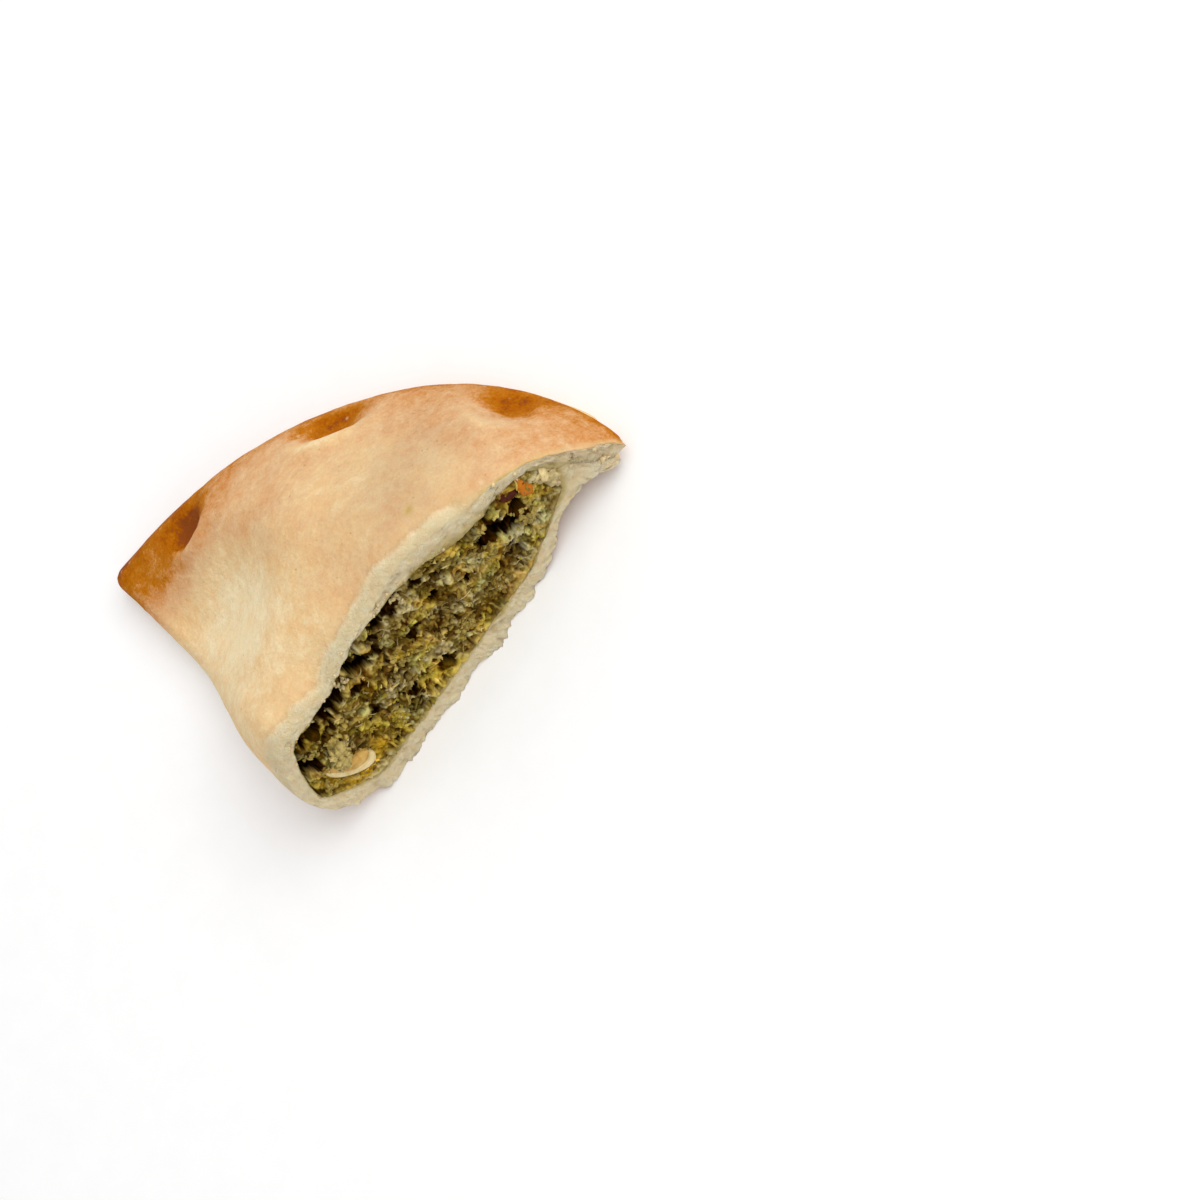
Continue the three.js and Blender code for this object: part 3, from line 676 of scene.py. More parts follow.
# Larger lumps that show: x, z, half length, half height, turn, proud, colour.
LUMPS = [
    (11.8, 16.6, 2.3, 1.9, 0.5, 0.6, HUSK), (10.2, 14.4, 1.5, 1.9, 1.0, 0.6, HUSK),
    (21.6, 8.6, 2.1, 1.5, 0.4, 0.5, YELLOW), (24.3, 9.2, 1.4, 1.2, 0.9, 0.3, STRAW),
    (19.0, 17.2, 2.4, 0.7, -0.2, 0.4, STRAW), (21.0, 21.4, 2.6, 2.0, 0.2, 0.2, GREY),
    (17.5, 12.4, 2.4, 1.9, 0.6, 0.1, GREY), (31.0, 12.4, 2.6, 2.0, 0.3, 0.1, GREY),
    (46.5, 13.5, 4.6, 0.62, 0.82, 0.4, YELLOW), (48.8, 19.6, 1.7, 0.6, 0.9, 0.5, STRAW),
    (55.6, 19.0, 0.5, 2.4, 0.1, 0.2, STRAW), (57.0, 16.6, 0.55, 2.6, -0.1, 0.3, GREY),
    (54.3, 17.2, 0.5, 2.4, 0.25, 0.2, OLIVE), (52.8, 18.6, 0.5, 2.2, 0.3, 0.2, GREY),
    (51.4, 17.0, 0.5, 2.0, 0.2, 0.3, STRAW), (61.6, 19.6, 1.5, 1.0, 0.5, 0.5, STRAW),
    (43.6, 11.0, 1.6, 1.2, 0.8, 0.4, STRAW), (42.4, 5.9, 1.7, 0.8, 0.3, 0.2, PALE),
    (38.6, 22.8, 1.8, 1.0, 0.5, 0.1, GREY), (64.6, 13.0, 1.5, 2.6, 0.3, 0.5, OLIVE),
    (66.6, 11.2, 1.4, 2.4, 0.2, 0.4, OLIVE), (60.6, 11.0, 1.8, 1.8, 0.0, 0.2, STRAW),
    (71.6, 15.6, 1.4, 1.2, 0.4, 0.2, GREY), (27.2, 18.4, 1.4, 0.7, 0.9, 0.4, STRAW),
    (5.6, 12.6, 1.0, 2.4, -0.2, 0.2, AMBER), (6.4, 9.6, 1.1, 2.0, -0.6, 0.2, AMBER),
    (8.6, 7.6, 1.9, 1.1, -0.4, 0.3, AMBER), (11.2, 6.9, 2.0, 0.9, 0.0, 0.2, AMBER),
    (13.8, 7.9, 1.6, 0.8, 0.7, 0.1, YELLOW), (4.4, 15.4, 0.9, 1.6, 0.1, 0.1, STRAW),
]


def hollow_depth(x, z):
    depth = 0 * x
    for hx, hz, wide, tall, deep in HOLLOWS:
        wobble = 0.5 * face_noise(x, z, 1.9, 81) + 0.3 * face_noise(x, z, 0.8, 82)
        shape = ((x - hx) / wide + wobble) ** 2 + ((z - hz) / tall + wobble) ** 2
        depth = np.maximum(depth, deep * np.exp(-shape ** 2.4))
    return depth


def path_distance(x, z, path):
    """Distance of points from a path of (x, z) corners."""
    stretches = [to_segment(x, z, *start, *end) for start, end in zip(path[:-1], path[1:])]
    return np.minimum.reduce(stretches)


def blurred(grid, reach):
    """Mean over a square of cells that reaches `reach` cells each way."""
    size = 2 * reach + 1
    for axis in (0, 1):
        widths = [(reach + 1, reach) if a == axis else (0, 0) for a in (0, 1)]
        total = np.cumsum(np.pad(grid, widths, mode="edge"), axis)
        high = np.take(total, np.arange(size, total.shape[axis]), axis)
        low = np.take(total, np.arange(0, total.shape[axis] - size), axis)
        grid = (high - low) / size
    return grid


class Face:
    """How proud of the knife's plane the torn filling stands, and its colour, with painted light and shade
    in it, over X and Z.
    """

    def __init__(self):
        self.x = np.arange(0, FACE_WIDE, CELL)
        self.z = np.arange(0, FACE_TALL, CELL)
        x, z = self.grid = np.meshgrid(self.x, self.z, indexing="ij")
        top, low = pocket(x, LEAN * z, 0.0)
        self.under_top = np.maximum(top - z, 0)
        self.over_low = np.maximum(z - low, 0)
        self.inside = (top > z) & (z > low)
        self.sunk = smooth(0.62 + 1.3 * face_noise(x, 0 * x, 6.5, 83))
        self.hollow = hollow_depth(x, z)
        under_dough = (0.4 + 1.9 * self.sunk) * np.exp(-(self.under_top / 1.7) ** 1.5)
        self.proud = -0.75 + 0.5 * face_fractal(x, z, 6.5, 85, 2) - under_dough - self.hollow
        self.warmth = face_noise(x, z, 9.0, 87) + 0.5 * face_noise(x, z, 4.0, 88)
        self.a = x + 1.5 * face_noise(x, z, 3.8, 91) + 0.5 * face_noise(x, z, 1.3, 90)
        self.b = z + 1.5 * face_noise(x, z, 3.8, 92) + 0.5 * face_noise(x, z, 1.3, 89)
        shaggy = smooth(0.5 + 1.1 * face_noise(x, z, 5.5, 86))
        self.juice = np.exp(-(path_distance(x, z, JUICE) / 1.4) ** 2)
        self.folds = 0.5 * creased(self.a, self.b, 2.8, 94) + 0.26 * creased(self.a, self.b, 1.3, 95)
        self.folds *= (0.4 + 0.8 * shaggy) * (1 - 0.6 * self.juice)
        self.colour = self.mash_colour(self.folds)

    def crease(self):
        """Folds the clumps laid so far, with finer lumps over the folds, and paints shade into the valleys
        between the folds.
        """
        fine = face_fractal(self.a, self.b, 0.8, 96, 2)
        self.proud += self.folds - 0.15 + 0.11 * fine
        # painted shade in the valleys of the folds
        deep = smooth((-0.1 - self.folds) / 0.5)[..., None]
        self.colour = self.colour * (1 - 0.7 * deep)

    def mash_colour(self, folds):
        """Leaf green to olive, greyer in cool zones, with straw on the crests as painted highlight and
        painted shade between them.
        """
        def share(value):
            return clamp01(value)[..., None]

        leafy = share(smooth(0.5 + 0.9 * face_noise(self.a, self.b, 2.1, 71)))
        colour = np.array(LEAF) * (1 - leafy) + np.array(OLIVE) * leafy
        colour += (np.array(GREY) - colour) * share(0.6 * smooth(0.5 - 0.8 * self.warmth))
        # Straw on the fold crests: painted highlight.
        colour += (np.array(STRAW) - colour) * share(0.45 * smooth((folds - 0.35) / 0.7))
        # Near black in the fold valleys: painted shade.
        colour += (np.array(PAINTED_SHADE) - colour) * share(0.8 * smooth((-0.2 - folds) / 0.5))
        return colour

    def cell(self, x, z):
        i = np.clip(np.round(np.asarray(x) / CELL).astype(int), 0, len(self.x) - 1)
        j = np.clip(np.round(np.asarray(z) / CELL).astype(int), 0, len(self.z) - 1)
        return i, j

    def lay(self, x, z, half, turn, tilt, middle, dome, colour):
        """Lays one scrap or lump on the face, tilted and domed, with a ragged outline."""
        reach = max(half) * 1.25
        (i0, i1), (j0, j1) = self.cell([x - reach, x + reach], [z - reach, z + reach])
        window = (slice(i0, i1 + 1), slice(j0, j1 + 1))
        dx, dz = self.x[window[0], None] - x, self.z[None, window[1]] - z
        c, s = math.cos(turn), math.sin(turn)
        along, up = dx * c + dz * s, dz * c - dx * s
        angle = np.arctan2(up / half[1], along / half[0])
        sway, notch, phase = rng.uniform(0, 0.18), rng.uniform(0, 0.14), rng.uniform(0, 6.3, 2)
        outline = 1 + sway * np.cos(2 * angle + phase[0]) + notch * np.cos(5 * angle + phase[1])
        radius = np.hypot(along / half[0], up / half[1]) / outline
        proud = middle + tilt[0] * along + tilt[1] * up - dome * radius ** 3
        shown = (radius < 1) & (proud > self.proud[window])
        self.proud[window][shown] = proud[shown]
        self.colour[window][shown] = colour

    def at(self, x, z):
        """Relief between grid cells."""
        fx, fz = np.asarray(x) / CELL, np.asarray(z) / CELL
        i = np.clip(np.floor(fx).astype(int), 0, len(self.x) - 2)
        j = np.clip(np.floor(fz).astype(int), 0, len(self.z) - 2)
        u, v = clamp01(fx - i), clamp01(fz - j)
        p = self.proud
        near = p[i, j] * (1 - v) + p[i, j + 1] * v
        far = p[i + 1, j] * (1 - v) + p[i + 1, j + 1] * v
        return near * (1 - u) + far * u

    def places(self, count, margin=0.0):
        """Random places inside the mouth, clear of the dough by `margin`."""
        found = np.zeros((0, 2))
        while len(found) < count:
            spots = rng.uniform((0, 0), (FACE_WIDE, FACE_TALL), (6 * count, 2))
            i, j = self.cell(spots[:, 0], spots[:, 1])
            x = spots[:, 0]
            kept = self.inside[i, j] & (self.under_top[i, j] > margin) & (self.over_low[i, j] > margin)
            kept &= (x > DOUGH_FOLD + margin) & (x < WIDTH - DOUGH_RIM - margin)
            kept &= (margin == 0) | (self.hollow[i, j] < 0.8)
            found = np.concatenate([found, spots[kept]])
        return found[:count]

    def mixed(self, x, z):
        """A cool or a warm colour, by the zone of the face that a place is in."""
        chosen = WARM if self.warmth[self.cell(x, z)] + rng.normal(0, 0.35) > 0 else COOL
        return np.array(chosen[rng.integers(len(chosen))]) * rng.uniform(0.7, 1.3)

    def own(self, x, z):
        """Colour and relief that the face has so far at a place; the colour carries the painted shade laid
        so far.
        """
        at = self.cell(x, z)
        return self.colour[at], self.proud[at]

    def level(self):
        """Fine roughness, a flush lower edge, and nothing proud of the top crust's edge."""
        x, z = self.grid
        self.proud += 0.06 * face_noise(x, z, 0.75, 97) + 0.05 * face_noise(x, z, 0.36, 98)
        flush = -0.1 + 0.5 * (self.proud - blurred(self.proud, 10))
        self.proud += (flush - self.proud) * np.exp(-(self.over_low / 0.8) ** 2)
        self.proud = np.minimum(self.proud, 0.8 - 1.3 * np.exp(-self.under_top / 0.7))

    def shade(self):
        """Painted light and shade: brighter where the face stands out, painted shade where it lies deep, in
        its hollows and under the top crust's edge, with random patches of lighter and darker tone.
        """
        x, z = self.grid
        # painted light on what stands out of its surroundings, painted shade in what lies back
        fine = self.proud - blurred(self.proud, 4)
        wide = self.proud - blurred(self.proud, 14)
        shade = 1.08 * np.exp(3.0 * np.clip(fine, -0.5, 0.24) + 0.85 * np.clip(wide, -1.2, 0.7))
        patchy = face_noise(self.a, self.b, 4.6, 77) + face_noise(self.a, self.b, 2.0, 78)
        shade *= np.exp(0.75 * patchy + 0.5 * face_noise(x, z, 11.0, 76))
        # painted shade, darker the deeper the face lies
        shade *= 0.06 + 0.94 * smooth((self.proud + 3.1) / 2.2)
        # the hollows are painted nearly black, as shade
        shade *= 1 - 0.97 * smooth((self.hollow - 0.1) / 0.9)
        # painted shadow under the top crust's edge
        shade *= 1 - 0.9 * (0.3 + 0.7 * self.sunk) * np.exp(-(self.under_top / 1.8) ** 2)
        return shade[..., None]

    def finish(self):
        """Levels the relief, paints light and shade into the colours and cooks them; they take on dough at
        the foot.
        """
        self.level()
        self.colour = np.minimum(self.colour * self.shade(), BRIGHTEST)
        self.cook()
        at_foot = 0.25 * np.exp(-(self.over_low / 0.5) ** 2)[..., None]
        self.colour += (np.array(DOUGHY) - self.colour) * at_foot
        self.colour = np.stack([blurred(self.colour[..., k], 1) for k in range(3)], -1)

    def cook(self):
        """Draws the colours towards cooked leaf, which is browner and deeper the darker it is; this also
        gives the painted shade the brown of shadow among the leaves.
        """
        red = self.colour[..., 0]
        cool = face_noise(self.a, self.b, 3.6, 79) + 0.5 * face_noise(self.a, self.b, 1.2, 80)
        cool = np.clip(cool, -0.9, 0.6)
        bright = red / 0.27
        green = red * 0.64 * bright ** np.where(bright > 1, 0.15, 0.36)
        leafy = face_noise(self.a, self.b, 2.5, 84) + 0.5 * face_noise(self.a, self.b, 0.9, 85)
        leafy = np.maximum(leafy, np.minimum(0.0, 3.0 * cool - 0.3))
        green = green * (0.97 + 0.2 * leafy + np.where(cool > 0, 0.3, 0.06) * cool)
        blue = red * 0.083 * bright ** 0.9 * np.exp(np.where(cool > 0, 1.5, 1.2) * cool)
        self.colour[..., 1] += 0.85 * (green - self.colour[..., 1])
        self.colour[..., 2] += 0.92 * (blue - self.colour[..., 2])
        amber = np.array(AMBER) * np.minimum(0.3 + 0.55 * red[..., None] / 0.28, 1.1)
        self.colour += 0.9 * self.juice[..., None] * (amber - self.colour)


# How many of each kind lie on the face.
CLUMPS, LARGE_SCRAPS, SCRAPS, STRANDS, SPECKS = 430, 110, 1300, 2400, 3600


def paler(colour, least, most):
    return colour + (np.array(PALE) - colour) * rng.uniform(least, most)


def lay_clumps(face):
    """Overlapping clumps with the larger lumps on them, creased together."""
    for x, z in face.places(CLUMPS):
        face.lay(x, z, (rng.uniform(0.8, 2.3), rng.uniform(0.5, 1.3)), rng.uniform(0, math.pi),
                 rng.normal(0, 0.12, 2), face.own(x, z)[1] + rng.uniform(0.0, 0.3), rng.uniform(0.3, 0.6),
                 face.mixed(x, z))
    for x, z, wide, tall, turn, proud, colour in LUMPS:
        height = max(proud - 0.4, face.own(x, z)[1] + 0.1)
        face.lay(x, z, (wide, tall), turn, (0.05, 0.0), height, 0.5, np.array(colour))
    face.crease()


def lay_scraps(face):
    """Scraps of leaf, the larger ones first."""
    for x, z in face.places(LARGE_SCRAPS, 0.5):
        face.lay(x, z, (rng.uniform(0.8, 2.0), rng.uniform(0.4, 1.0)), rng.uniform(0, math.pi),
                 rng.normal(0, 0.16, 2), face.own(x, z)[1] + rng.uniform(0.05, 0.3), 0.25, face.mixed(x, z))
    for x, z in face.places(SCRAPS):
        colour, proud = face.own(x, z)
        colour = colour * rng.uniform(0.5, 1.7) if rng.random() < 0.7 else face.mixed(x, z)
        face.lay(x, z, (rng.uniform(0.25, 0.8), rng.uniform(0.12, 0.4)), rng.uniform(0, math.pi),
                 rng.normal(0, 0.2, 2), proud + rng.uniform(0.0, 0.2), 0.1, colour)


def lay_strands(face):
    """Thin strands that run together in places, some pale and more of them dark."""
    for x, z in face.places(STRANDS):
        bend = float(noise(np.array(x), np.array(0.0), np.array(z), 7.0, 93))
        colour, proud = face.own(x, z)
        kind = rng.random()
        if kind < 0.3:
            colour = paler(colour, 0.3, 0.9)
        elif kind < 0.7:
            colour = colour * rng.uniform(0.15, 0.6)
        half = rng.uniform(0.3, 1.3), rng.uniform(0.08, 0.19)
        face.lay(x, z, half, 1.4 + 2.2 * bend + rng.normal(0, 0.5), rng.normal(0, 0.12, 2),
                 proud + rng.uniform(0.02, 0.14), 0.06, colour)


def lay_specks(face):
    for x, z in face.places(SPECKS):
        size = rng.uniform(0.1, 0.22)
        colour, proud = face.own(x, z)
        # the pale specks are painted highlights, glints on wet leaf; the others are darker bits
        colour = paler(colour, 0.35, 0.95) if rng.random() < 0.35 else colour * rng.uniform(0.15, 0.6)
        face.lay(x, z, (size, size * rng.uniform(0.5, 1)), rng.uniform(0, 3), (0, 0),
                 proud + rng.uniform(0.02, 0.1), 0.08, colour)


def torn_face():
    face = Face()
    for lay in (lay_clumps, lay_scraps, lay_strands, lay_specks):
        lay(face)
    face.finish()
    return face


FACE_COLUMNS, FACE_ROWS = 430, 160
FILL_GAP = -0.25  # the filling presses into the dough round it
DEEPEST = 8.5
BODY_SECTIONS = 12
EDGE_STEPS = (0.3, 0.65, 1.0)


def end_caps(rows, columns):
    """Faces that close a sheet folded round from row 0 to the last row, at both its ends."""
    faces = []
    for end in (0, columns - 1):
        for r in range(rows // 2):
            low, low_next = r * columns + end, (r + 1) * columns + end
            high, high_next = (rows - 1 - r) * columns + end, (rows - 2 - r) * columns + end
            if low_next == high_next or low_next == high:
                continue
            ring = [low, low_next, high_next, high]
            faces.append(ring[:1] + ring[:0:-1] if end == 0 else ring)
    return faces


def filling_core(face):
    share = 0.5 * np.linspace(0, 1, FACE_COLUMNS) + 0.5 * even_shares(FACE_COLUMNS)
    share = share[None, :]
    top, low = (side[0] for side in pocket_sections(share, 0 * share, FILL_GAP))
    w = np.linspace(0, 1, FACE_ROWS)[:, None, None]
    front = low[None] * (1 - w) + top[None] * w
    depth = -face.at(front[..., 0], front[..., 2])
    front[..., 1] = LEAN * front[..., 2] + depth

    last = pocket_length(FILL_GAP) * TIP_SHARE
    back = DEEPEST + (last - DEEPEST) * np.sin(math.pi / 2 * np.linspace(0, 1, BODY_SECTIONS)[1:])

    def starts(edge_depth):
        near = [np.maximum(edge_depth, -1.0) * (1 - k) + DEEPEST * k for k in EDGE_STEPS]
        return np.array(near + [np.full(FACE_COLUMNS, b) for b in back])

    tops = pocket_sections(share, starts(depth[-1]), FILL_GAP)[0]
    lows = pocket_sections(share, starts(depth[0]), FILL_GAP)[1]
    sheets = np.concatenate([lows[::-1], front, tops])
    faces = band_faces(len(sheets), FACE_COLUMNS, around=False)
    last_row = (len(sheets) - 1) * FACE_COLUMNS
    faces += [[c + 1, c, last_row + c, last_row + c + 1] for c in range(FACE_COLUMNS - 1)]
    faces += end_caps(len(sheets), FACE_COLUMNS)
    colours = face.colour[face.cell(sheets[..., 0], sheets[..., 2])].reshape(-1, 3)
    return make_mesh("filling_core", sheets.reshape(-1, 3), faces, colours=colours)


# ---- bits scattered over the filling's face ----

def random_turns(count, tilt):
    """Rotations: any turn in the face, then a tilt out of it of up to `tilt` radians."""
    base = Matrix.Rotation(math.radians(-14), 3, "X")
    turns = []
    for a, b, c in zip(rng.uniform(0, 2 * math.pi, count), *rng.uniform(-tilt, tilt, (2, count))):
        turn = base @ Matrix.Rotation(a, 3, "Y") @ Matrix.Rotation(b, 3, "X") @ Matrix.Rotation(c, 3, "Z")
        turns.append(np.array(turn))
    return np.array(turns)


def joined(name, shapes, faces, centres, turns, sizes, colours):
    """Joins one small shape per centre into one mesh piece."""
    count, each = shapes.shape[0], shapes.shape[1]
    points = np.einsum("nij,nvj->nvi", turns, shapes * sizes[:, None, :]) + centres[:, None]
    all_faces = [[v + each * n for v in one] for n in range(count) for one in faces]
    points = points.reshape(-1, 3)
    points[:, 2] = np.maximum(points[:, 2], 0.0)
    piece = make_mesh(name, points, all_faces, colours=np.repeat(colours, each, 0))
    return piece


def on_face(face, places, lift, deepest=-9.0):
    """Points standing `lift` proud of the face at places on it, but no deeper than `deepest`."""
    proud = np.maximum(face.at(places[:, 0], places[:, 1]), deepest) + lift
    return np.stack([places[:, 0], LEAN * places[:, 1] - proud, places[:, 1]], 1)


def leaf_shape():
    """A thin leaf scrap lying in X and Z, with an eight-sided outline."""
    angles = np.linspace(0, 2 * math.pi, 9)[:-1]
    outline = np.stack([np.cos(angles), 0 * angles, 0.55 * np.sin(angles)], 1)
    points = np.concatenate([outline + [0, 0.07, 0], outline - [0, 0.07, 0], [[0, 0.1, 0], [0, -0.1, 0]]])
    faces = []
    for i in range(8):
        j = (i + 1) % 8
        faces += [[i, j, 16], [8 + j, 8 + i, 17], [j, i, 8 + i, 8 + j]]
    return points, faces


def bent_leaves(count):
    shape, faces = leaf_shape()
    shapes = np.repeat(shape[None], count, 0)
    ragged = rng.uniform(0.55, 1.15, (count, 8, 1))
    shapes[:, :8] *= np.concatenate([ragged, np.ones_like(ragged), ragged], 2)
    shapes[:, 8:16] *= np.concatenate([ragged, np.ones_like(ragged), ragged], 2)
    bend, twist = rng.uniform(-0.7, 0.7, (2, count, 1))
    shapes[..., 1] += bend * shapes[..., 0] ** 2 + twist * shapes[..., 0] * shapes[..., 2]
    return shapes, faces


def leaf_flakes(face):
    count = 420
    shapes, faces = bent_leaves(count)
    places = face.places(count, 0.6)
    sizes = np.stack([rng.uniform(0.4, 1.4, count), rng.uniform(0.8, 1.3, count),
                      rng.uniform(0.3, 1.0, count)], 1)
    i, j = face.cell(places[:, 0], places[:, 1])
    # each flake takes the face's colour under it, painted light and shade included, made brighter or darker
    # at random
    own = face.colour[i, j] * rng.uniform(0.7, 1.7, (count, 1))
    mixed = np.array([face.mixed(x, z) for x, z in places])
    colours = np.where(rng.random((count, 1)) < 0.75, own, mixed)
    centres = on_face(face, places, rng.uniform(-0.15, 0.25, count))
    return joined("leaf_flakes", shapes, faces, centres, random_turns(count, 0.6), sizes, colours)


def stem_shapes(count):
    """Thin bent stalks along X, six sides round."""
    steps, sides = 9, 6
    t = np.linspace(-1, 1, steps)
    ring = np.linspace(0, 2 * math.pi, sides + 1)[:-1]
    bend, curl = rng.uniform(-0.3, 0.3, (2, count, 2, 1))
    taper = np.sqrt(np.maximum(1 - t ** 6, 0.03))[None, :, None]
    sway = bend * t ** 2 + curl * t ** 3
    points = np.zeros((count, steps, sides, 3))
    points[..., 0] = t[None, :, None]
    points[..., 1] = taper * np.cos(ring) * 0.06 + sway[:, 0][..., None]
    points[..., 2] = taper * np.sin(ring) * 0.06 + sway[:, 1][..., None]
    return points.reshape(count, -1, 3), capped_faces(steps, sides)


def stems(face):
    count = 70
    shapes, faces = stem_shapes(count)
    sizes = np.repeat(rng.uniform(0.5, 1.6, (count, 1)), 3, 1)
    sizes[:, 1:] = rng.uniform(0.9, 1.8, (count, 1))
    tones = np.array([STRAW, PALE, BROWN, OLIVE])
    colours = tones[rng.integers(0, 4, count)] * rng.uniform(0.5, 1.0, (count, 1))
    centres = on_face(face, face.places(count, 1.7), rng.uniform(0.05, 0.3, count))
    return joined("stems", shapes, faces, centres, random_turns(count, 0.35), sizes, colours)


def lump_shape():
    """A small lump of eighty faces, from an icosahedron split once."""
    g = (1 + math.sqrt(5)) / 2
    corners = [(-1, g, 0), (1, g, 0), (-1, -g, 0), (1, -g, 0), (0, -1, g), (0, 1, g), (0, -1, -g),
               (0, 1, -g), (g, 0, -1), (g, 0, 1), (-g, 0, -1), (-g, 0, 1)]
    sides = [(0, 11, 5), (0, 5, 1), (0, 1, 7), (0, 7, 10), (0, 10, 11), (1, 5, 9), (5, 11, 4),
             (11, 10, 2), (10, 7, 6), (7, 1, 8), (3, 9, 4), (3, 4, 2), (3, 2, 6), (3, 6, 8),
             (3, 8, 9), (4, 9, 5), (2, 4, 11), (6, 2, 10), (8, 6, 7), (9, 8, 1)]
    points = [np.array(c) / np.linalg.norm(c) for c in corners]
    middles, faces = {}, []

    def middle(a, b):
        key = (min(a, b), max(a, b))
        if key not in middles:
            between = points[a] + points[b]
            points.append(between / np.linalg.norm(between))
            middles[key] = len(points) - 1
        return middles[key]

    for a, b, c in sides:
        ab, bc, ca = middle(a, b), middle(b, c), middle(c, a)
        faces += [[a, ab, ca], [b, bc, ab], [c, ca, bc], [ab, bc, ca]]
    return np.array(points), faces


def rough_lumps(count, roughness):
    shape, faces = lump_shape()
    swell = 1 + roughness * rng.uniform(-1, 1, (count, len(shape), 1))
    return shape[None] * swell, faces


# Clusters of crumbs in the filling: x, z, spread, how many, size, colour.
CLUSTERS = [
    (13.0, 19.2, 1.1, 30, 0.6, STRAW), (12.0, 16.9, 1.2, 44, 0.7, HUSK), (10.9, 14.8, 1.2, 44, 0.7, HUSK),
    (9.6, 13.2, 1.0, 30, 0.55, HUSK), (8.9, 11.6, 0.7, 16, 0.5, HUSK), (9.6, 21.9, 1.1, 12, 0.4, STRAW),
    (21.6, 9.0, 1.6, 30, 0.4, YELLOW), (8.0, 7.6, 2.0, 14, 0.4, AMBER),
    (24.4, 25.4, 0.9, 14, 0.42, PALE), (26.8, 14.8, 1.4, 24, 0.36, PALE), (41.6, 8.8, 1.5, 40, 0.42, STRAW),
    (42.2, 27.0, 0.9, 14, 0.42, PALE), (60.2, 22.6, 1.3, 26, 0.42, STRAW), (64.5, 13.5, 2.0, 40, 0.4, STRAW),
    (30.5, 16.5, 2.4, 30, 0.34, STRAW), (50.0, 9.0, 2.6, 40, 0.34, OLIVE), (72.2, 15.2, 1.6, 9, 1.4, PALE),
    (71.8, 10.8, 1.2, 6, 1.3, STRAW), (71.6, 20.0, 1.3, 20, 0.5, OLIVE),
    (4.6, 13.4, 0.9, 26, 0.4, STRAW), (17.0, 20.0, 1.4, 20, 0.34, STRAW), (55.5, 14.0, 2.2, 34, 0.32, STRAW),
]


def filling_crumbs(face):
    places, sizes, colours = [], [], []
    for x, z, spread, count, size, colour in CLUSTERS:
        places.append(np.array([x, z]) + spread * 0.55 * rng.normal(size=(count, 2)))
        sizes.append(size * rng.uniform(0.3, 1.35, (count, 3)))
        colours.append(np.array(colour) * rng.uniform(0.7, 1.15, (count, 1)))
    loose = 130
    places.append(face.places(loose, 0.6))
    sizes.append(rng.uniform(0.12, 0.32, (loose, 3)))
    tones = np.array([STRAW, YELLOW, OLIVE])
    colours.append(tones[rng.integers(0, 3, loose)] * rng.uniform(0.6, 1.15, (loose, 1)))
    places, sizes, colours = map(np.concatenate, (places, sizes, colours))
    i, j = face.cell(places[:, 0], places[:, 1])
    inside = (face.under_top[i, j] > 0.4) & (face.over_low[i, j] > 0.3)
    places, sizes, colours = places[inside], sizes[inside], colours[inside]
    count = len(places)
    shapes, faces = rough_lumps(count, 0.4)
    centres = on_face(face, places, rng.uniform(-0.15, 0.2, count), -1.0)
    turns = random_turns(count, 3.0)
    return joined("filling_crumbs", shapes, faces, centres, turns, sizes, colours)


def curved_slab(name, path, half_width, thickness):
    """A bent slab along a path of cut-plane points (x, z, proud), rounded at its ends."""
    path = np.array(path, dtype=float)
    steps, around = 26, 14
    t = np.linspace(0, len(path) - 1, steps)
    i = np.minimum(t.astype(int), len(path) - 2)
    u = (t - i)[:, None]
    before, after = path[np.maximum(i - 1, 0)], path[np.minimum(i + 2, len(path) - 1)]
    a, b = path[i], path[i + 1]
    centre = 0.5 * (2 * a + (b - before) * u + (2 * before - 5 * a + 4 * b - after) * u ** 2
                    + (3 * a - before - 3 * b + after) * u ** 3)
    along = np.gradient(centre[:, :2], axis=0)
    along /= np.linalg.norm(along, axis=1, keepdims=True)
    ring = np.linspace(0, 2 * math.pi, around + 1)[:-1]
    end = np.linspace(-1, 1, steps)
    taper = np.maximum(1 - np.abs(end) ** 5, 0.02) ** 0.35
    flat = np.sign(np.cos(ring)) * np.abs(np.cos(ring)) ** 0.7
    deep = np.sign(np.sin(ring)) * np.abs(np.sin(ring)) ** 0.6
    points = np.zeros((steps, around, 3))
    points[..., 0] = centre[:, None, 0] - along[:, None, 1] * thickness / 2 * flat * taper[:, None]
    points[..., 2] = centre[:, None, 1] + along[:, None, 0] * thickness / 2 * flat * taper[:, None]
    points[..., 1] = LEAN * points[..., 2] - centre[:, None, 2] + half_width * (deep + 1) * taper[:, None]
    points = points.reshape(-1, 3)
    points[:, 1] += 0.06 * noise(points[:, 0], points[:, 1], points[:, 2], 1.1, 101)
    return make_mesh(name, points, capped_faces(steps, around))


def onion():
    """A curl of onion low in the fold: an ivory layer round its see-through amber heart."""
    outer = [(6.9, 15.4, -0.5), (7.1, 13.4, 0.0), (8.3, 11.6, 0.4), (9.7, 10.0, 0.6), (11.3, 8.9, 0.6),
             (12.5, 9.0, 0.5), (13.1, 9.9, 0.2)]
    heart = [(8.0, 15.4, -0.3), (9.0, 13.4, 0.2), (10.4, 11.6, 0.45), (11.7, 10.9, 0.35), (12.8, 11.6, 0.0)]
    return curved_slab("onion_ivory", outer, 1.2, 1.6), curved_slab("onion_inner", heart, 1.0, 3.0)


# From the middle of a chunk's face over its edge: how far out, and how far back.
WEDGE_PROFILE = ((0.3, 0.0), (0.75, 0.04), (0.93, 0.14), (1.0, 0.4), (0.98, 1.0))
WEDGE_ROUNDING = 0.12


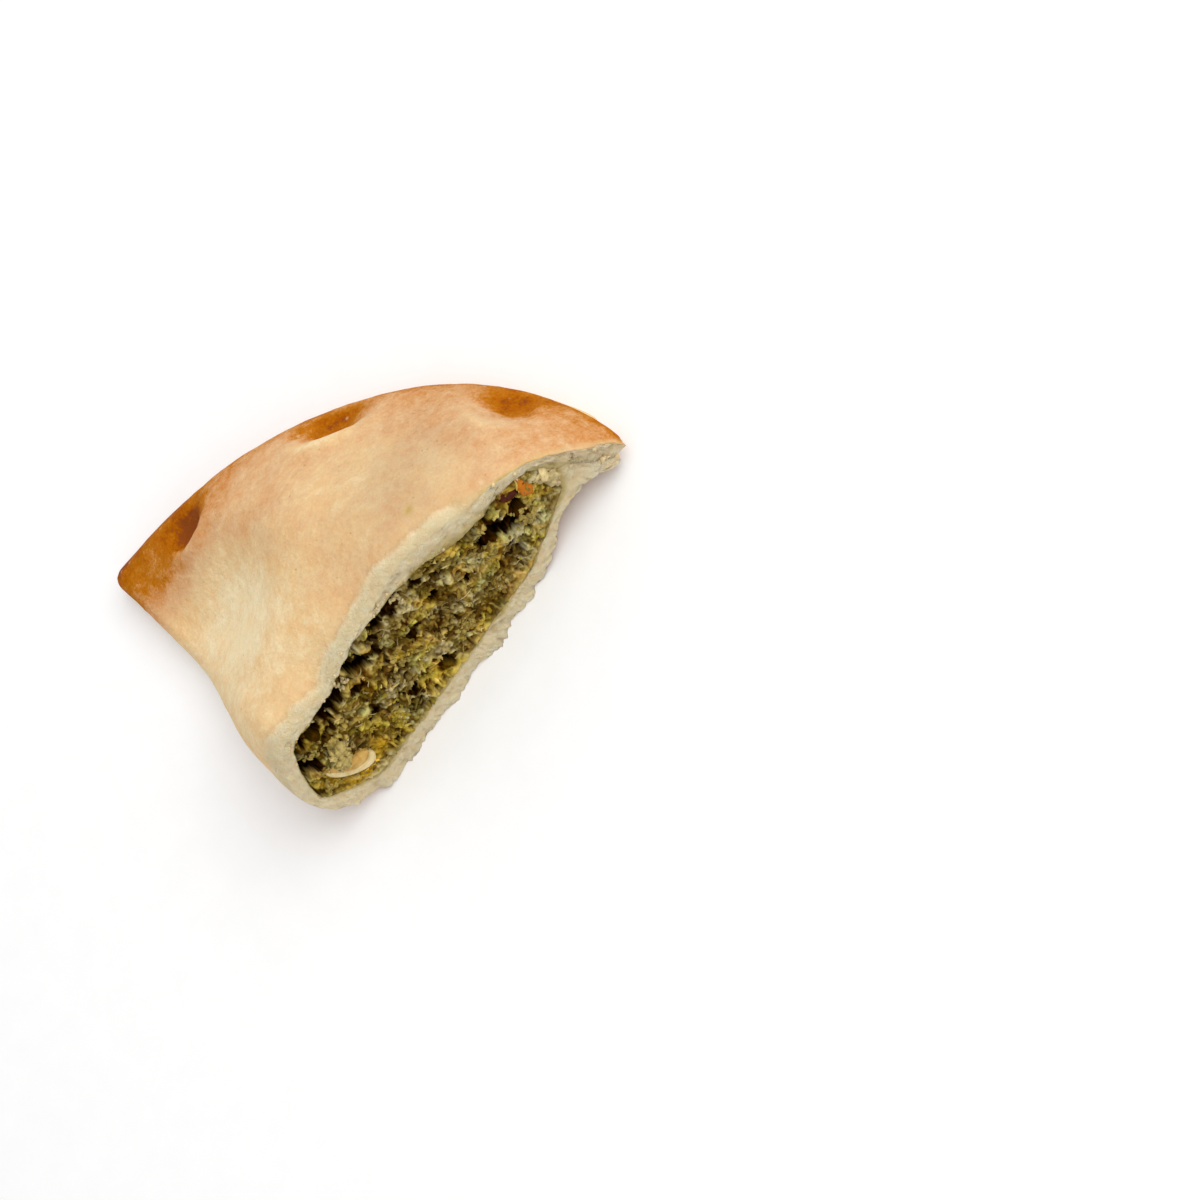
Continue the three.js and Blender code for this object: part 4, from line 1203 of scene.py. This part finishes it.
def wedge(name, corners, proud, depth):
    """A chunk with a rounded polygon face, corners given as cut-plane points."""
    corners = np.array(corners, dtype=float)
    centre = corners.mean(0)
    outline = []
    for k in range(len(corners)):
        a, b, c = corners[k - 1], corners[k], corners[(k + 1) % len(corners)]
        middle = b + 0.25 * WEDGE_ROUNDING * ((a - b) + (c - b))
        outline += [b + (a - b) * WEDGE_ROUNDING, middle, b + (c - b) * WEDGE_ROUNDING]
    outline = np.array(outline)
    rows = []
    for share, sunk in WEDGE_PROFILE:
        ring = centre + (outline - centre) * share
        y = LEAN * ring[:, 1] - proud + depth * sunk
        rows.append(np.stack([ring[:, 0], y, ring[:, 1]], 1))
    return make_mesh(name, np.concatenate(rows), capped_faces(len(rows), len(outline)))


def carrot():
    corners = [(70.2, 21.2), (68.6, 20.0), (67.2, 17.0), (68.3, 14.8), (70.0, 16.6)]
    return wedge("carrot", corners, -0.1, 2.4)


def red_pepper():
    corners = [(68.8, 20.6), (66.0, 21.2), (64.4, 19.6), (65.6, 17.6), (67.4, 17.4)]
    return wedge("red_pepper", corners, -0.8, 2.0)


# ---- crumbs of the torn dough ----

def dough_crumbs():
    """Loose crumbs along the top crust's torn edge, larger over the thick sealed end."""
    count = 90
    x = rng.uniform(5, 80, count)
    end = smooth((x - 68) / 6)
    z = pocket(np.minimum(x, 71), 0 * x + 6.5, 0)[0] + rng.uniform(0.1, 1.0, count)
    top, bottom, _ = outside(x, 0 * x + 3)
    z += end * (bottom + 1.0 + (top - bottom - 2.6) * rng.random(count) - z)
    out = rng.uniform(-0.5, 0.0, count)
    out += end * (crumb_relief(x, z) + rng.uniform(0.3, 0.7, count) - out)
    centres = np.stack([x, LEAN * z + out * np.where(end > 0.5, 1, -1), z], 1)
    sizes = rng.uniform(0.12, 0.4, (count, 3)) * (1 + 1.2 * end[:, None])
    tone = np.array((0.82, 0.64, 0.36)) * rng.uniform(0.85, 1.05, (count, 1))
    shapes, faces = rough_lumps(count, 0.45)
    return joined("dough_crumbs", shapes, faces, centres, random_turns(count, 3.0), sizes, tone)


# ---- materials ----

class Nodes:
    """Short names for building a node tree."""

    def __init__(self, material):
        material.use_nodes = True
        self.tree = material.node_tree
        self.shader = self.tree.nodes["Principled BSDF"]
        self.place = self.tree.nodes.new("ShaderNodeTexCoord").outputs["Object"]

    def set(self, socket, value):
        if isinstance(value, bpy.types.NodeSocket):
            self.tree.links.new(value, socket)
        elif isinstance(value, tuple):
            socket.default_value = (*value, 1)
        else:
            socket.default_value = value

    def link(self, source, target):
        self.tree.links.new(source, target)

    def surface(self, values):
        """Sets or links inputs of the shader."""
        for name, value in values.items():
            if isinstance(value, bpy.types.NodeSocket):
                self.link(value, self.shader.inputs[name])
            else:
                self.shader.inputs[name].default_value = value

    def attribute(self, name, output="Fac"):
        node = self.tree.nodes.new("ShaderNodeAttribute")
        node.attribute_name = name
        return node.outputs[output]

    def stretched(self, scale):
        node = self.tree.nodes.new("ShaderNodeMapping")
        self.link(self.place, node.inputs["Vector"])
        node.inputs["Scale"].default_value = scale
        return node.outputs["Vector"]

    def noise(self, scale, detail=3.0, roughness=0.55, vector=None):
        node = self.tree.nodes.new("ShaderNodeTexNoise")
        self.link(vector or self.place, node.inputs["Vector"])
        node.inputs["Scale"].default_value = scale
        node.inputs["Detail"].default_value = detail
        node.inputs["Roughness"].default_value = roughness
        return node.outputs["Fac"]

    def cells(self, scale):
        """Distance from the nearest of many scattered points."""
        node = self.tree.nodes.new("ShaderNodeTexVoronoi")
        self.link(self.place, node.inputs["Vector"])
        node.inputs["Scale"].default_value = scale
        return node.outputs["Distance"]

    def ramp(self, value, stops):
        node = self.tree.nodes.new("ShaderNodeValToRGB")
        ramp = node.color_ramp
        while len(ramp.elements) < len(stops):
            ramp.elements.new(0.5)
        for element, (position, colour) in zip(ramp.elements, stops):
            element.position = position
            element.color = (*colour, 1) if isinstance(colour, tuple) else (colour, colour, colour, 1)
        self.link(value, node.inputs["Fac"])
        return node.outputs["Color"]

    def math(self, operation, a, b, clamp=False):
        node = self.tree.nodes.new("ShaderNodeMath")
        node.operation = operation
        node.use_clamp = clamp
        self.set(node.inputs[0], a)
        self.set(node.inputs[1], b)
        return node.outputs[0]

    def times(self, a, b, clamp=False):
        return self.math("MULTIPLY", a, b, clamp)

    def plus(self, a, b, clamp=False):
        return self.math("ADD", a, b, clamp)

    def edge_of(self, mask):
        """1 half way across the border of a mask, 0 where it is full or empty."""
        other = self.math("SUBTRACT", 1.0, mask)
        return self.times(self.times(mask, other), 4.0, clamp=True)

    def swing(self, value, amount):
        """A noise value turned into a swing of plus or minus about half of `amount`."""
        return self.times(self.math("SUBTRACT", value, 0.5), amount)

    def mix(self, share, a, b, blend="MIX"):
        node = self.tree.nodes.new("ShaderNodeMix")
        node.data_type = "RGBA"
        node.blend_type = blend
        self.set(node.inputs[0], share)
        self.set(node.inputs[6], a)
        self.set(node.inputs[7], b)
        return node.outputs[2]

    def bump(self, height, distance, strength=1.0, normal=None):
        node = self.tree.nodes.new("ShaderNodeBump")
        self.link(height, node.inputs["Height"])
        node.inputs["Distance"].default_value = distance
        node.inputs["Strength"].default_value = strength
        if normal:
            self.link(normal, node.inputs["Normal"])
        return node.outputs["Normal"]


BAKED = (
    (0.0, (0.93, 0.78, 0.5)),
    (0.16, (0.8, 0.57, 0.3)),
    (0.32, (0.71, 0.435, 0.225)),
    (0.5, (0.62, 0.3, 0.11)),
    (0.68, (0.49, 0.17, 0.008)),
    (0.86, (0.4, 0.11, 0.0)),
    (1.0, (0.26, 0.065, 0.01)),
)


def crust_material():
    material = bpy.data.materials.new("baked_dough")
    n = Nodes(material)
    bake, cut = n.attribute("bake"), n.attribute("cut")
    stain, wet = n.attribute("stain"), n.attribute("wet")

    blotch = n.swing(n.noise(150, 4.0, 0.6), 0.24)
    mottle = n.swing(n.noise(520, 4.0, 0.65), 0.32)
    speckle = n.swing(n.noise(1900, 3.0, 0.7), 0.26)
    patchwork = n.plus(blotch, n.plus(mottle, speckle))
    stronger = n.ramp(bake, ((0.2, 0.85), (0.55, 1.9)))
    browned = n.plus(bake, n.times(patchwork, stronger), clamp=True)
    skin = n.ramp(browned, BAKED)

    freckle = n.ramp(n.cells(430), ((0.0, 1.0), (0.075, 1.0), (0.12, 0.0)))
    some = n.ramp(n.noise(300, 1.0), ((0.52, 0.0), (0.56, 1.0)))
    skin = n.mix(n.times(n.times(freckle, some), 0.4), skin, (0.36, 0.19, 0.07))
    blister = n.ramp(n.cells(260), ((0.0, 1.0), (0.06, 0.7), (0.13, 0.0)))
    skin = n.mix(n.times(blister, 0.35), skin, (0.86, 0.68, 0.45))

    # a patch of painted shade, greyer and darker, over the middle of the dome
    skin = n.mix(n.attribute("dome_shade"), skin, (0.8, 0.8, 0.83), "MULTIPLY")
    rosy = n.ramp(n.noise(190, 3.0, 0.6), ((0.42, 0.0), (0.66, 1.0)))
    skin = n.mix(rosy, skin, (1.0, 0.92, 0.84), "MULTIPLY")

    crumb_tone = n.ramp(n.noise(620, 4.0, 0.65), ((0.3, (0.95, 0.73, 0.42)), (0.7, (1.0, 0.87, 0.6))))
    stain_tone = n.ramp(n.noise(260, 3.0), ((0.35, (0.68, 0.5, 0.19)), (0.65, (0.92, 0.76, 0.44))))
    patchy = n.swing(n.noise(330, 4.0, 0.65), 1.5)
    bare = n.ramp(n.plus(cut, n.times(patchy, n.edge_of(cut))), ((0.25, 0.0), (0.75, 1.0)))
    colour = n.mix(bare, skin, crumb_tone)
    colour = n.mix(n.times(stain, 0.42), colour, stain_tone)
    # painted shade in the gaps between the crumb's lumps
    gap_shade_tone = n.ramp(n.noise(400, 3.0), ((0.35, (0.42, 0.3, 0.1)), (0.65, (0.62, 0.47, 0.22))))
    colour = n.mix(n.times(n.attribute("gaps"), 0.75), colour, gap_shade_tone)
    wet_tone = n.ramp(n.noise(500, 3.0), ((0.35, (0.46, 0.32, 0.07)), (0.65, (0.66, 0.5, 0.18))))
    colour = n.mix(wet, colour, wet_tone)

    rough = n.ramp(n.noise(420, 3.0), ((0.3, 0.5), (0.7, 0.72)))
    orange_peel = n.bump(n.noise(700, 4.0, 0.65), 0.0006, 0.6)
    grain = n.bump(n.noise(2600, 3.0, 0.6), 0.00015, 0.6, orange_peel)
    crumbly = n.bump(n.times(n.noise(1300, 5.0, 0.75), cut), 0.0009, 0.9, grain)
    n.surface({"Base Color": colour, "Roughness": rough, "Normal": crumbly, "Specular IOR Level": 0.02,
               "Subsurface Weight": 0.15, "Subsurface Radius": (0.004, 0.0022, 0.001),
               "Subsurface Scale": 0.6})
    return material


def tinted_material(name, roughness, grain_scale, grain, specular):
    """Takes each bit's own colour, with a little unevenness over it."""
    material = bpy.data.materials.new(name)
    n = Nodes(material)
    uneven = n.ramp(n.noise(grain_scale * 0.6, 3.0), ((0.3, 0.7), (0.7, 1.2)))
    low, high = roughness
    n.surface({"Base Color": n.mix(1.0, n.attribute("tint", "Color"), uneven, "MULTIPLY"),
               "Roughness": n.ramp(n.noise(grain_scale * 0.8, 2.0), ((0.3, low), (0.7, high))),
               "Normal": n.bump(n.noise(grain_scale, 4.0, 0.65), grain, 0.7),
               "Specular IOR Level": specular})
    return material


def juicy_material(name, dark, light, weight, specular):
    """Cooked vegetable flesh: streaked along its layers, a little see-through and shiny."""
    material = bpy.data.materials.new(name)
    n = Nodes(material)
    streaks = n.noise(900, 3.0, 0.6, n.stretched((0.35, 1.0, 0.35)))
    n.surface({"Base Color": n.ramp(streaks, ((0.3, dark), (0.68, light))),
               "Roughness": n.ramp(n.noise(1200, 2.0), ((0.3, 0.22), (0.7, 0.42))),
               "Normal": n.bump(n.noise(1600, 3.0), 0.0002, 0.5), "Specular IOR Level": specular,
               "Subsurface Weight": weight, "Subsurface Radius": (0.003, 0.002, 0.001),
               "Subsurface Scale": 0.5})
    return material


# ---- stage, light and camera ----

LOOK_AT = (58.3, -10.65, 0.0)
CAMERA_DISTANCE = 565.5
AZIMUTH, ELEVATION, ROLL = 34.93, 62.77, 85.09
FLOOR_HALF = 3.0  # metres
ROOM_LIGHT = 0.66
KEY_LIGHT = {"distance": 0.9, "size": 0.8, "power": 5.4}  # metres and watts


def camera_axes():
    azimuth, elevation, roll = map(math.radians, (AZIMUTH, ELEVATION, ROLL))
    level = math.cos(elevation)
    back = Vector((math.sin(azimuth) * level, -math.cos(azimuth) * level, math.sin(elevation)))
    upright = (Vector((0, 0, 1)) - back * back.z).normalized()
    sideways = upright.cross(back)
    up = math.cos(roll) * upright + math.sin(roll) * sideways
    return up.cross(back), up, back


def add_camera():
    right, up, back = camera_axes()
    data = bpy.data.cameras.new("camera")
    data.lens = 100
    data.sensor_width = 36
    camera = bpy.data.objects.new("camera", data)
    turn = Matrix((right, up, back)).transposed().to_4x4()
    place = Vector(to_frame(np.array(LOOK_AT))) + back * CAMERA_DISTANCE * MM
    camera.matrix_world = Matrix.Translation(place) @ turn
    bpy.context.scene.collection.objects.link(camera)
    bpy.context.scene.camera = camera


def add_floor():
    half = FLOOR_HALF
    mesh = bpy.data.meshes.new("floor")
    corners = [(-half, -half, 0), (half, -half, 0), (half, half, 0), (-half, half, 0)]
    mesh.from_pydata(corners, [], [(0, 1, 2, 3)])
    floor = bpy.data.objects.new("floor", mesh)
    material = bpy.data.materials.new("white_paper")
    n = Nodes(material)
    n.surface({"Base Color": n.ramp(n.noise(160, 4.0), ((0.3, 0.96), (0.7, 0.98))), "Roughness": 0.9})
    mesh.materials.append(material)
    bpy.context.scene.collection.objects.link(floor)


def add_area(name, direction, distance, size, power):
    """A soft square light at `distance` in `direction`, aimed at the food."""
    light = bpy.data.lights.new(name, "AREA")
    light.size = size
    light.energy = power
    lamp = bpy.data.objects.new(name, light)
    away = Vector(direction).normalized()
    turn = away.to_track_quat("Z", "Y").to_matrix().to_4x4()
    lamp.matrix_world = Matrix.Translation(away * distance) @ turn
    bpy.context.scene.collection.objects.link(lamp)


def add_lights():
    """White all round, with one soft light from above the picture."""
    scene = bpy.context.scene
    scene.world = bpy.data.worlds.new("white_room")
    scene.world.use_nodes = True
    background = scene.world.node_tree.nodes["Background"]
    background.inputs["Color"].default_value = (1, 1, 1, 1)
    background.inputs["Strength"].default_value = ROOM_LIGHT
    _, up, back = camera_axes()
    add_area("key", up * 0.42 + back * 0.85, **KEY_LIGHT)
    scene.view_settings.view_transform = "Standard"
    scene.view_settings.look = "None"


# ---- put together ----

def place(piece, material, slot=None, replaced=None):
    piece.data.materials.append(material)
    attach(piece, "root")
    if replaced:
        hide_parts(replaced)


def build():
    place(crust_piece(), crust_material(), "crust", "crust")
    face = torn_face()
    pulp = tinted_material("chopped_spinach", (0.35, 0.65), 1900, 0.0003, 0.0)
    place(filling_core(face), pulp, "filling", "filling")
    leaf = tinted_material("leaf_scraps", (0.3, 0.55), 2200, 0.0002, 0.03)
    pale = tinted_material("pale_bits", (0.45, 0.7), 2600, 0.0002, 0.03)
    place(leaf_flakes(face), leaf)
    place(stems(face), pale)
    place(filling_crumbs(face), pale)
    ivory, inner = onion()
    onion_flesh = juicy_material("onion_flesh", (0.6, 0.42, 0.14), (0.88, 0.73, 0.42), 0.3, 0.2)
    onion_amber = juicy_material("onion_amber", (0.42, 0.2, 0.03), (0.74, 0.48, 0.14), 0.15, 0.1)
    carrot_flesh = juicy_material("carrot_flesh", (0.42, 0.1, 0.004), (0.66, 0.2, 0.01), 0.05, 0.05)
    pepper_skin = juicy_material("pepper_skin", (0.05, 0.006, 0.003), (0.12, 0.014, 0.005), 0.0, 0.05)
    place(ivory, onion_flesh, "filling")
    place(inner, onion_amber, "filling")
    place(carrot(), carrot_flesh, "filling")
    place(red_pepper(), pepper_skin, "filling")
    crumb = tinted_material("dough_crumb", (0.6, 0.8), 2400, 0.0002, 0.2)
    place(dough_crumbs(), crumb)


build()
add_floor()
add_camera()
add_lights()
